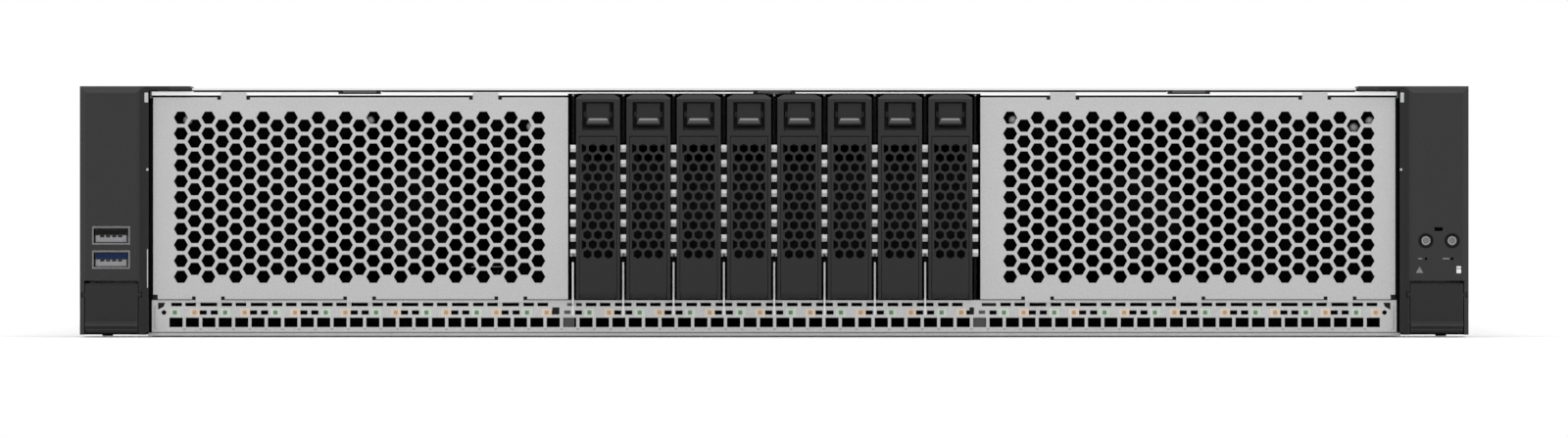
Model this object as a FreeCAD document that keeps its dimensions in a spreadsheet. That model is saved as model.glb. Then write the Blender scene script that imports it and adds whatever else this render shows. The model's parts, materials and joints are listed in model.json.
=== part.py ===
import FreeCAD, Part
import math
import os
import re
import Sketcher
from FreeCAD import Placement, Rotation, Vector

# Two-unit rack server, in millimetres. X runs to the right seen from the front, Y into the machine,
# Z up. Y = 0 is the plane of the rack posts, Z = 0 the underside.
DIMENSIONS = [
    # overall
    ("rack_width", 482.6), ("ear_width", 22.3), ("chassis_height", 86.4), ("chassis_depth", 770.0),
    ("front_reach", 27.0), ("steel_gauge", 1.2), ("panel_gauge", 1.0), ("cover_gauge", 0.8),
    ("fit_gap", 0.2), ("wall_setback", 9.0), ("lip_width", 3.0), ("cover_flange", 16.0),
    # front: shelf, strip and bays
    ("shelf_top", 12.6), ("shelf_gauge", 0.8), ("bay_depth", 112.0), ("bay_pitch", 17.5), ("bay_margin", 1.6),
    ("vent_gap", 0.3), ("vent_drop", 0.7), ("vent_margin", 5.2), ("hex_flats", 4.3), ("hex_web", 1.232),
    ("hex_stagger", 0.752), ("top_tab_inset", 28.7), ("low_tab_inset", 19.9), ("tab_width", 8.8),
    ("tab_notch", 1.3), ("square_pitch", 5.705), ("square_wide", 4.6), ("square_tall", 3.3),
    ("square_shift", 0.15), ("light_size", 1.9), ("light_inset", 5.33), ("light_shift", 0.37),
    ("light_depth", 12.0), ("slot_tall", 1.2), ("side_slot", 2.5), ("side_slot_inset", 1.9075),
    ("side_slot_tall", 1.45), ("top_slot", 3.7), ("top_slot_reach", 2.45), ("long_slot", 5.8),
    ("strip_hole", 0.8), ("insert_wall", 1.5), ("vent_side_gap", 0.7),
    # header and cage
    ("header_drop", 2.6), ("header_tall", 1.4), ("header_lip", 0.65), ("header_flange", 3.4),
    ("cage_gap", 0.1), ("cage_gauge", 0.65), ("divider_gauge", 0.8), ("nose_rise", 13.2), ("nose_drop", 1.5),
    ("finger_pitch", 5.2), ("finger_tall", 2.5), ("finger_rise", 16.4), ("finger_gap", 0.15),
    # drive carriers
    ("carrier_gap", 2.3), ("carrier_foot", 0.35), ("carrier_head", 0.25), ("carrier_proud", 2.5),
    ("bezel_depth", 9.0), ("cheek", 1.0), ("lever_thick", 4.6), ("lever_drop", 1.9), ("lever_face", 1.6),
    ("pin_radius", 0.9), ("pin_gap", 0.05), ("rail_spare", 8.0), ("rail_gauge", 0.7), ("rail_side", 0.6),
    ("latch_side", 2.1), ("latch_drop", 2.6), ("latch_tall", 10.2), ("latch_deep", 5.6), ("grip_inset", 1.4),
    ("shoulder_wide", 2.2), ("shoulder_tall", 1.1),
    ("mesh_flats", 2.85), ("mesh_web", 0.82), ("mesh_row_web", 0.495), ("mesh_rise", 16.0), ("mesh_side", 1.9),
    # ears
    ("ear_lap", 0.5), ("ear_low", 0.6), ("ear_rise", 0.6), ("ear_reach", 32.0), ("flange_gauge", 2.0),
    ("ear_skin", 3.0), ("skirt_gap", 0.9), ("flap_margin", 2.6), ("flap_edge", 1.9), ("flap_high", 18.5),
    ("flap_low", 1.3), ("flap_thick", 2.2), ("flap_pivot", 14.5), ("trunnion_radius", 1.0),
    ("rack_hole_inset", 8.75),
    ("rack_hole_height", 6.35), ("rack_hole_radius", 3.6), ("rack_screw_radius", 2.4), ("rack_head_radius", 4.5),
    ("usb_inset", 10.9), ("usb_high", 35.1), ("usb_low", 26.7), ("usb_wide", 13.1), ("usb_tall", 6.3),
    ("button_height", 33.3), ("button_radius", 1.65), ("button_gap", 0.1), ("id_inset", 14.9),
    ("power_inset", 5.8),
    # inside
    ("fan_space", 56.0), ("fan_spare", 6.4), ("fan_depth", 38.0), ("fan_rim", 2.0), ("fan_between", 8.0),
    ("hub_radius", 18.0), ("blade_gap", 1.2), ("board_space", 68.0), ("board_low", 7.2), ("board_gauge", 1.6),
    ("memory_pitch", 7.8), ("memory_long", 142.0), ("duct_gap", 4.8), ("duct_reach", 14.0), ("duct_wall", 2.0),
    ("stud_radius", 3.0), ("stud_height", 44.0), ("stud_front", 60.0), ("stud_back", 83.0),
    ("stud_stagger", 2.0), ("standoff_radius", 3.0),
    # rear
    ("supply_wide", 73.5), ("supply_spare", 7.4), ("supply_deep", 185.0), ("supply_gap", 0.4),
    ("supply_proud", 1.5), ("supply_rim", 3.75), ("slot_pitch", 20.32), ("slot_low", 23.6),
    ("cover_tall", 18.4), ("short_cover", 80.0), ("riser_gap", 4.0), ("riser_end", 24.8),
]

# sizes that follow from the ones above
FOLLOWING = {
    "chassis_width": "rack_width - 2*ear_width",
    "wall_inner": "chassis_width/2 - cover_gauge - 2*fit_gap - steel_gauge",
    "wall_top": "chassis_height - cover_gauge",
    "rear_face": "chassis_depth - front_reach",
    "vent_width": "wall_inner - 4*bay_pitch - bay_margin",
    "bay_group_pitch": "wall_inner - vent_width/2 + fit_gap/2",
    "vent_low": "shelf_top + vent_gap",
    "vent_high": "header_low - vent_drop",
    "top_tab_offset": "vent_width/2 - top_tab_inset",
    "low_tab_offset": "vent_width/2 - low_tab_inset",
    "hex_row_pitch": "hex_flats + hex_web",
    "hex_column_pitch": "hex_row_pitch - hex_stagger",
    "row_room": "(shelf_top - steel_gauge - square_tall - light_size - slot_tall)/52",
    "square_height": "steel_gauge + 20.7*row_room + square_tall/2",
    "light_height": "square_height + square_tall/2 + 8.8*row_room + light_size/2",
    "slot_height": "light_height + light_size/2 + 13*row_room + slot_tall/2",
    "light_reach": "bay_pitch/2 - light_inset",
    "side_slot_reach": "bay_pitch/2 - side_slot_inset",
    "header_low": "chassis_height - header_drop",
    "header_high": "header_low + header_tall",
    "header_clear": "header_low + header_lip",
    "cage_roof": "header_clear - cage_gap",
    "cage_high": "cage_roof + cage_gauge",
    "nose_low": "shelf_top - nose_drop",
    "nose_high": "shelf_top + nose_rise",
    "finger_low": "shelf_top + finger_rise",
    "finger_wide": "carrier_gap - 2*finger_gap",
    "carrier_wide": "bay_pitch - carrier_gap",
    "carrier_low": "shelf_top + carrier_foot",
    "carrier_high": "cage_roof - carrier_head",
    "latch_wide": "carrier_wide - 2*latch_side",
    "latch_high": "carrier_high - latch_drop",
    "latch_low": "latch_high - latch_tall",
    "lever_top": "latch_low - lever_drop",
    "rail_wide": "carrier_wide - 2*rail_side",
    "rail_long": "bay_depth - rail_spare",
    "mesh_wide": "carrier_wide - 2*mesh_side",
    "mesh_low": "shelf_top + mesh_rise",
    "mesh_pitch": "mesh_flats + mesh_web",
    "mesh_row_pitch": "mesh_flats + mesh_row_web",
    "ear_inner": "chassis_width/2 - ear_lap",
    "ear_high": "chassis_height + ear_rise",
    "flap_inner": "ear_inner + flap_margin",
    "flap_outer": "rack_width/2 - flap_edge",
    "usb_place": "rack_width/2 - usb_inset",
    "id_button": "rack_width/2 - id_inset",
    "power_button": "rack_width/2 - power_inset",
    "rack_hole_pitch": "rack_width - 2*rack_hole_inset",
    "fan_plane": "bay_depth + fan_space",
    "fan_size": "chassis_height - fan_spare",
    "fan_bore": "fan_size - 2*fan_rim",
    "fan_pitch": "fan_size + fan_between",
    "board_front": "fan_plane + board_space",
    "supply_tall": "(chassis_height - supply_spare)/2",
    "supply_front": "rear_face + supply_proud - supply_deep",
    "cage_wall": "supply_wide + supply_proud + supply_gap - wall_inner",
    "socket_place": "board_front + memory_long/2 + 14/39*(supply_front - 6 - board_front - memory_long)",
    "duct_front": "fan_plane + steel_gauge + fan_depth + duct_gap",
    "duct_back": "socket_place + memory_long/2 + duct_reach",
    "stud_pitch": "(rear_face - stud_back - stud_front)/3",
    "riser_start": "cage_wall + panel_gauge + riser_gap",
    "cover_long": "(wall_inner - riser_end - riser_start - 2*riser_gap - short_cover)/2",
}

doc = FreeCAD.newDocument("rack_server")
sheet = doc.addObject("Spreadsheet::Sheet", "Dims")
for row, (alias, value) in enumerate(DIMENSIONS, 1):
    sheet.set(f"A{row}", alias)
    sheet.set(f"B{row}", str(value))
    sheet.setAlias(f"B{row}", alias)
doc.recompute()
KNOWN = {alias for alias, _ in DIMENSIONS}
NODES = []

# places worked out from the sheet, as expressions
PANEL_FRONT = "(-front_reach)"
PANEL_BACK = "(-front_reach + panel_gauge)"
FRAME_BACK = "(-front_reach + 2*panel_gauge)"
WALL_FRONT = "(-front_reach + wall_setback)"
REAR_FACE = "rear_face"
REAR_INNER = f"({REAR_FACE} - steel_gauge)"
COVER_HALF = "(chassis_width/2)"
WALL_OUTER = "(wall_inner + steel_gauge)"
WALL_INNER = "wall_inner"
WALL_TOP = "wall_top"
CARRIER_FRONT = "(-front_reach - carrier_proud)"
BEZEL_BACK = f"({CARRIER_FRONT} + bezel_depth)"
LEVER_ROUND = "(lever_thick/2)"
LEVER_PIVOT_Y = f"({CARRIER_FRONT} + {LEVER_ROUND})"
LEVER_PIVOT_Z = f"(carrier_low + {LEVER_ROUND} + fit_gap)"
LEVER_HALF = "(carrier_wide/2 - cheek - fit_gap)"
CAGE_FRONT = f"({FRAME_BACK} + header_flange + 1.6)"
BOARD_TOP = "(board_low + board_gauge)"
EAR_FRONT = "(-ear_reach)"
FLAP_PIVOT_Y = f"({EAR_FRONT} + flap_thick/2 + 0.3)"
RACK_HOLE = "(rack_hole_pitch/2)"
SUPPLY_LEFT = "(supply_proud - wall_inner)"
SUPPLY_RIGHT = f"({SUPPLY_LEFT} + supply_wide)"
CAGE_WALL = "cage_wall"
LOWER_SUPPLY = "(steel_gauge + supply_gap)"
SHELF_LOW = f"({LOWER_SUPPLY} + supply_tall + supply_gap)"
UPPER_SUPPLY = f"({SHELF_LOW} + panel_gauge + supply_gap)"
SUPPLY_BACK = "(rear_face + supply_proud)"
SUPPLY_FRONT = "supply_front"
FAN_LOW = "(steel_gauge + panel_gauge)"
FAN_FRONT = "(fan_plane + steel_gauge)"
FAN_CENTRE = f"({FAN_LOW} + fan_size/2)"


def bound(text):
    def follow(match):
        word = match.group(0)
        if word in FOLLOWING:
            return f"({bound(FOLLOWING[word])})"
        return f"Dims.{word}" if word in KNOWN else word

    return re.sub(r"[a-z_]\w*", follow, str(text))


def size(text):
    return float(sheet.evalExpression(bound(text)))


def point(x, y, z):
    return Vector(size(x), size(y), size(z))


def node(obj, name):
    obj.Label = name
    NODES.append((obj, name))
    return obj


# Sketches, pads and pockets in a body. A loop is a list of corners or ("round", u, v, radius).
def add_sketch(body, plane, loops, level):
    sketch = body.newObject("Sketcher::SketchObject", "Sketch")
    support = next(item for item in body.Origin.OriginFeatures if item.Role == plane + "_Plane")
    sketch.AttachmentSupport = [(support, "")]
    sketch.MapMode = "FlatFace"
    offset = f"-({level})" if plane == "XZ" else level
    sketch.setExpression("AttachmentOffset.Base.z", bound(offset))
    shapes, rules, sizes = [], [], []

    def place(index, spot, u, v):
        for kind, text in (("DistanceX", u), ("DistanceY", v)):
            sizes.append((len(rules), text))
            rules.append(Sketcher.Constraint(kind, -1, 1, index, spot, size(text)))

    for loop in loops:
        first = len(shapes)
        if loop[0] == "round":
            _, u, v, radius = loop
            shapes.append(Part.Circle(Vector(size(u), size(v), 0), Vector(0, 0, 1), size(radius)))
            place(first, 3, u, v)
            sizes.append((len(rules), radius))
            rules.append(Sketcher.Constraint("Radius", first, size(radius)))
            continue
        corners = [Vector(size(u), size(v), 0) for u, v in loop]
        for step in range(len(corners)):
            shapes.append(Part.LineSegment(corners[step], corners[(step + 1) % len(corners)]))
        for step in range(len(corners)):
            after = first + (step + 1) % len(corners)
            rules.append(Sketcher.Constraint("Coincident", first + step, 2, after, 1))
        for step, (u, v) in enumerate(loop):
            place(first + step, 1, u, v)
    sketch.addGeometry(shapes, False)
    sketch.addConstraint(rules)
    for index, text in sizes:
        sketch.setExpression(f"Constraints[{index}]", bound(text))
    return sketch


def pad(body, plane, loops, low, high):
    start = high if plane == "XZ" else low
    feature = body.newObject("PartDesign::Pad", "Pad")
    feature.Profile = add_sketch(body, plane, loops, start)
    feature.setExpression("Length", bound(f"{high} - ({low})"))
    body.Tip = feature
    return feature


def pocket(body, plane, loops, low, high):
    start = low if plane == "XZ" else high
    feature = body.newObject("PartDesign::Pocket", "Pocket")
    feature.Profile = add_sketch(body, plane, loops, start)
    feature.setExpression("Length", bound(f"{high} - ({low})"))
    body.Tip = feature
    return feature


def rect(u_low, u_high, v_low, v_high):
    return [(u_low, v_low), (u_high, v_low), (u_high, v_high), (u_low, v_high)]


def mirrored(side, low, high):
    return (low, high) if side > 0 else (f"-({high})", f"-({low})")


def body_at(name, x="0"):
    body = doc.addObject("PartDesign::Body", name)
    body.setExpression("Placement.Base.x", bound(x))
    return body


def box(x, y, z, name="Block"):
    block = doc.addObject("Part::Box", name)
    for prop, (low, high) in zip(("Length", "Width", "Height"), (x, y, z)):
        block.setExpression(prop, bound(f"{high} - ({low})"))
    for axis, (low, high) in zip("xyz", (x, y, z)):
        block.setExpression(f"Placement.Base.{axis}", bound(low))
    return block


def rod(radius, centre_x, y, centre_z, name="Rod"):
    cylinder = doc.addObject("Part::Cylinder", name)
    cylinder.Placement = Placement(Vector(), Rotation(Vector(1, 0, 0), -90))
    cylinder.setExpression("Radius", bound(radius))
    cylinder.setExpression("Height", bound(f"{y[1]} - ({y[0]})"))
    for axis, text in zip("xyz", (centre_x, y[0], centre_z)):
        cylinder.setExpression(f"Placement.Base.{axis}", bound(text))
    return cylinder


def post(radius, x, y, z, name="Post"):
    cylinder = doc.addObject("Part::Cylinder", name)
    cylinder.setExpression("Radius", bound(radius))
    cylinder.setExpression("Height", bound(f"{z[1]} - ({z[0]})"))
    for axis, text in zip("xyz", (x, y, z[0])):
        cylinder.setExpression(f"Placement.Base.{axis}", bound(text))
    return cylinder


def joined(kind, parts, name):
    feature = doc.addObject(kind, name)
    if kind == "Part::MultiFuse":
        feature.Shapes = parts
    elif kind == "Part::Compound":
        feature.Links = parts
    else:
        feature.Base, feature.Tool = parts
    return feature


def shaped(shape, name):
    feature = doc.addObject("Part::Feature", name)
    feature.Shape = shape
    return feature


# Solids made straight from the sheet's numbers, for grids of holes and groups of like pieces
def block(x, y, z):
    low = point(x[0], y[0], z[0])
    high = point(x[1], y[1], z[1])
    return Part.makeBox(high.x - low.x, high.y - low.y, high.z - low.z, low)


def outline(corners):
    return Part.makePolygon(corners + [corners[0]])


def hexagon(x, y, z, flats, turn=0.0):
    radius = flats / math.sqrt(3)
    angles = [math.radians(60 * step + turn) for step in range(6)]
    return outline([Vector(x + radius * math.cos(a), y, z + radius * math.sin(a)) for a in angles])


def loop_rect(x, z, wide, tall, y):
    return outline([Vector(x - wide / 2, y, z - tall / 2), Vector(x + wide / 2, y, z - tall / 2),
                    Vector(x + wide / 2, y, z + tall / 2), Vector(x - wide / 2, y, z + tall / 2)])


def sheet_with_holes(border, holes, thick):
    normal = Part.Face(border).normalAt(0, 0)
    for hole in holes:
        if Part.Face(hole).normalAt(0, 0).dot(normal) > 0:
            hole.reverse()
    return Part.Face([border] + holes).extrude(Vector(0, thick, 0))


# Chassis base: pan, side walls, header, rack flanges, studs and board standoffs
def chassis_base():
    body = body_at("chassis_pan")
    corners = []
    for side in ("", "-"):
        half = [(f"{side}{WALL_OUTER}", "0"), (f"{side}{WALL_OUTER}", WALL_TOP),
                (f"{side}({WALL_OUTER} - lip_width)", WALL_TOP),
                (f"{side}({WALL_OUTER} - lip_width)", f"{WALL_TOP} - steel_gauge"),
                (f"{side}{WALL_INNER}", f"{WALL_TOP} - steel_gauge"), (f"{side}{WALL_INNER}", "steel_gauge")]
        corners += half if side == "" else half[::-1]
    pad(body, "XZ", [corners], WALL_FRONT, REAR_FACE)
    pad(body, "XY", [rect(f"-{WALL_OUTER}", WALL_OUTER, PANEL_BACK, f"{WALL_FRONT} + 1")], "0", "steel_gauge")
    pad(body, "XZ", [rect(f"-{WALL_INNER}", WALL_INNER, "header_low", "header_high")], PANEL_BACK, FRAME_BACK)
    pad(body, "XY", [rect(f"-{WALL_INNER}", WALL_INNER, FRAME_BACK, f"{FRAME_BACK} + header_flange")],
        "header_clear + 0.05", "header_high")
    returns = [rect(f"{WALL_INNER} - panel_gauge", WALL_INNER, FRAME_BACK, f"{WALL_FRONT} + 10"),
               rect(f"-{WALL_INNER}", f"-{WALL_INNER} + panel_gauge", FRAME_BACK, f"{WALL_FRONT} + 10")]
    pad(body, "XY", returns, "header_low", "header_high")
    flanges = [rect(f"{WALL_INNER}", "rack_width/2", "ear_low + 0.2", "ear_high - 0.2"),
               rect("-rack_width/2", f"-{WALL_INNER}", "ear_low + 0.2", "ear_high - 0.2")]
    pad(body, "XZ", flanges, "-flange_gauge", "0")
    pocket(body, "XZ", [("round", RACK_HOLE, "rack_hole_height", "rack_hole_radius"),
                        ("round", f"-{RACK_HOLE}", "rack_hole_height", "rack_hole_radius")],
           "-flange_gauge - 1", "1")
    pocket(body, "XZ", [rect("-4.1*bay_pitch", "4.1*bay_pitch", "header_low - 1", "header_clear")],
           f"{PANEL_BACK} - 1", f"{FRAME_BACK} + header_flange + 1")
    hooks = [rect(f"{place} - 7.4", f"{place} + 7.4", "header_low + 0.5", "header_high + 1")
             for place in ("-bay_group_pitch", "0", "bay_group_pitch")]
    pocket(body, "XZ", hooks, f"{PANEL_BACK} - 1", FRAME_BACK)
    for side, shift in ((1, "0"), (-1, "stud_stagger")):
        places = [f"stud_front + {step}*stud_pitch + {shift}" for step in range(4)]
        shanks = [("round", place, "stud_height", "stud_radius") for place in places]
        heads = [("round", place, "stud_height", "stud_radius*1.5") for place in places]
        pad(body, "YZ", shanks, *mirrored(side, f"{WALL_OUTER} - 0.5", f"{WALL_OUTER} + 2.4"))
        pad(body, "YZ", heads, *mirrored(side, f"{WALL_OUTER} + 2.4", f"{WALL_OUTER} + 3.6"))
    spots = [(x, y) for x in (f"-{WALL_INNER} + 16", "0", f"{WALL_INNER} - 16")
             for y in ("board_front + 12", "supply_front - 83.5")]
    spots += [(x, f"{REAR_INNER} - 20") for x in (f"{CAGE_WALL} + 16", "60", f"{WALL_INNER} - 16")]
    standoffs = [post("standoff_radius", x, y, ("steel_gauge", "board_low"), "standoff") for x, y in spots]
    return node(joined("Part::Compound", [body] + standoffs, "chassis_base"), "chassis_base")


# Shelf under the bays; its front strip carries the vent squares, slots and light windows
def bay_groups():
    side = int(size("vent_width") // size("bay_pitch"))
    return [(-size("bay_group_pitch"), side), (0.0, 8), (size("bay_group_pitch"), side)]


def bay_shelf():
    y = size(PANEL_BACK)
    half = size(f"{WALL_INNER} - 0.1")
    low = size("steel_gauge")
    high = size("shelf_top")
    border = outline([Vector(x, y, z) for x, z in ((-half, low), (half, low), (half, high), (-half, high))])
    pitch = size("square_pitch")
    count = int((2 * half - 2) // pitch) - 1
    first = size("square_shift") - (count - 1) * pitch / 2
    holes = [loop_rect(first + step * pitch, size("square_height"), size("square_wide"), size("square_tall"), y)
             for step in range(count)]
    bay = size("bay_pitch")
    light = size("light_size")
    tall = size("slot_tall")
    lights = []
    centres = [middle + (place - (count - 1) / 2) * bay
               for middle, count in bay_groups() for place in range(count)]
    ends = (centres[0] - size("side_slot_reach"), centres[-1] + size("side_slot_reach"))
    for centre in centres:
        for way in (-1, 1):
            spot = centre + size("light_shift") + way * size("light_reach")
            holes.append(loop_rect(spot, size("light_height"), light, light, y))
            lights.append(spot)
            edge = centre + way * size("side_slot_reach")
            upper = centre + way * size("top_slot_reach")
            if edge in ends:
                middle = Vector(edge, y, size("light_height"))
                holes.append(Part.Wire(Part.makeCircle(size("strip_hole"), middle, Vector(0, 1, 0))))
            else:
                holes.append(loop_rect(edge, size("light_height"), size("side_slot"), size("side_slot_tall"), y))
            holes.append(loop_rect(upper, size("slot_height"), size("top_slot"), tall, y))
    for middle, count in bay_groups():
        for place in range(1, count):
            between = middle + (place - count / 2) * bay
            holes.append(loop_rect(between, size("slot_height"), size("long_slot"), tall, y))
    strip = shaped(sheet_with_holes(border, holes, size("panel_gauge")), "strip")
    shelf = box((f"-{WALL_INNER} + 0.1", f"{WALL_INNER} - 0.1"), (f"{PANEL_BACK} + panel_gauge/2", "bay_depth"),
                ("shelf_top - shelf_gauge", "shelf_top"), "shelf")
    node(joined("Part::Fuse", (strip, shelf), "bay_shelf"), "bay_shelf")
    gap = size("fit_gap") / 4
    deep = size("light_depth")
    guides = [Part.makeBox(light - 2 * gap, deep, light - 2 * gap,
                           Vector(spot - light / 2 + gap, y, size("light_height") - light / 2 + gap))
              for spot in lights]
    node(shaped(Part.makeCompound(guides), "drive_light_guides"), "drive_light_guides")


# Vent panel: hexagon grid that follows the panel's own size, clip tabs above and below
def vent_panel(side, name):
    y = size(PANEL_FRONT)
    centre = side * size("bay_group_pitch")
    half = size("vent_width/2")
    low = size("vent_low")
    high = size("vent_high")
    tab = size("tab_width/2")
    notch = size("tab_notch")
    corners = [(-half, low)]
    for place in (-1, 0, 1):
        spot = place * size("low_tab_offset")
        corners += [(spot - tab - notch, low), (spot - tab - notch, low + 1.0), (spot - tab, low + 1.0),
                    (spot - tab, low - 1.0), (spot + tab, low - 1.0), (spot + tab, low + 1.0),
                    (spot + tab + notch, low + 1.0), (spot + tab + notch, low)]
    edge = half - size("vent_side_gap")
    corners += [(edge - 1.6, low), (edge - 1.6, low + 1.6), (edge, low + 1.6), (edge, high)]
    for place in (1, -1):
        spot = place * size("top_tab_offset")
        corners += [(spot + tab + notch, high), (spot + tab + notch, high - 0.8), (spot + tab, high - 0.8),
                    (spot + tab, high + 1.6), (spot - tab, high + 1.6), (spot - tab, high - 0.8),
                    (spot - tab - notch, high - 0.8), (spot - tab - notch, high)]
    corners += [(-half, high)]
    border = outline([Vector(centre + side * x, y, z) for x, z in corners])
    flats = size("hex_flats")
    column_pitch = size("hex_column_pitch")
    row_pitch = size("hex_row_pitch")
    columns = int((2 * (half - size("vent_margin")) - flats) // column_pitch) // 2 * 2 + 1
    rows = int((high - low - 2 * size("vent_margin") - flats) // row_pitch) + 1
    holes = []
    for column in range(columns):
        count = rows - column % 2
        for row in range(count):
            holes.append(hexagon(centre + (column - (columns - 1) / 2) * column_pitch, y,
                                 (low + high) / 2 + 0.4 + (row - (count - 1) / 2) * row_pitch, flats))
    node(shaped(sheet_with_holes(border, holes, size("panel_gauge")), name), name)


def bay_inserts():
    tubes = []
    for side in (-1, 1):
        inner = f"({side}*bay_group_pitch - (vent_width/2 - 0.6))"
        outer = f"({side}*bay_group_pitch + (vent_width/2 - 0.6))"
        shell = box((inner, outer), (PANEL_BACK, "bay_depth - 4"), ("shelf_top", "header_low - 0.3"))
        hollow = box((f"{inner} + insert_wall", f"{outer} - insert_wall"), (f"{PANEL_BACK} - 1", "bay_depth"),
                     ("shelf_top + insert_wall", "header_low - 0.3 - insert_wall"))
        tubes.append(joined("Part::Cut", (shell, hollow), "bay_insert"))
    node(joined("Part::Compound", tubes, "bay_inserts"), "bay_inserts")


# Drive cage: roof and dividers in one sheet form, open below, with noses in front of the strip
def drive_cage():
    body = body_at("drive_cage")
    half = "divider_gauge/2"
    corners = [(f"-4*bay_pitch - {half}", "cage_high"), (f"-4*bay_pitch - {half}", "shelf_top")]
    for place in range(-4, 5):
        corners.append((f"{place}*bay_pitch + {half}", "shelf_top"))
        if place < 4:
            corners.append((f"{place}*bay_pitch + {half}", "cage_roof"))
            corners.append((f"{place + 1}*bay_pitch - {half}", "cage_roof"))
            corners.append((f"{place + 1}*bay_pitch - {half}", "shelf_top"))
    corners.append((f"4*bay_pitch + {half}", "cage_high"))
    pad(body, "XZ", [corners], CAGE_FRONT, "bay_depth - 4")
    noses = [rect(f"{place}*bay_pitch - {half}", f"{place}*bay_pitch + {half}", "shelf_top", "nose_high")
             for place in range(-4, 4)]
    pad(body, "XZ", noses, f"{PANEL_FRONT} - 0.2", f"{CAGE_FRONT} + 0.5")
    tips = [rect(f"{place}*bay_pitch - {half}", f"{place}*bay_pitch + {half}", "nose_low", "shelf_top + 0.5")
            for place in range(-4, 4)]
    pad(body, "XZ", tips, f"{PANEL_FRONT} - 0.2", f"{PANEL_BACK} - 0.1")
    node(body, "drive_cage")


def contact_fingers():
    back = size(CAGE_FRONT)
    wide = size("finger_wide")
    tall = size("finger_tall")
    pitch = size("finger_pitch")
    low = size("finger_low")
    count = int((size("lever_top") - low - tall) // pitch) + 1
    combs = []
    for place in range(-4, 5):
        left = place * size("bay_pitch") - wide / 2
        corners = [Vector(left, back, low - tall / 2 - 0.6)]
        for step in range(count):
            bottom = low + step * pitch - tall / 2
            corners += [Vector(left, back - 1.0, bottom), Vector(left, back - 3.6, bottom),
                        Vector(left, back - 4.2, bottom + tall / 2), Vector(left, back - 3.6, bottom + tall),
                        Vector(left, back - 1.0, bottom + tall)]
        corners.append(Vector(left, back, low + (count - 1) * pitch + tall / 2 + 0.6))
        combs.append(Part.Face(outline(corners)).extrude(Vector(wide, 0, 0)))
    node(shaped(Part.makeCompound(combs), "contact_fingers"), "contact_fingers")


def drive_backplane():
    body = body_at("backplane_board")
    pad(body, "XZ", [rect("-4*bay_pitch - 1.5", "4*bay_pitch + 1.5", "shelf_top", "cage_high")],
        "bay_depth - 4", "bay_depth - 2")
    windows = [rect(f"({place} - 3.5)*bay_pitch - 5", f"({place} - 3.5)*bay_pitch + 5",
                    "cage_high - 23", "cage_high - 7") for place in range(8)]
    pocket(body, "XZ", windows, "bay_depth - 5", "bay_depth - 1")
    connectors = [block((f"({place} - 3.5)*bay_pitch - 2.6", f"({place} - 3.5)*bay_pitch + 2.6"),
                        ("bay_depth - 12", "bay_depth - 4"), ("shelf_top + 5.4", "cage_high - 27"))
                   for place in range(8)]
    ports = shaped(Part.makeCompound(connectors), "drive_connectors")
    node(joined("Part::Compound", [body, ports], "drive_backplane"), "drive_backplane")


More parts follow.
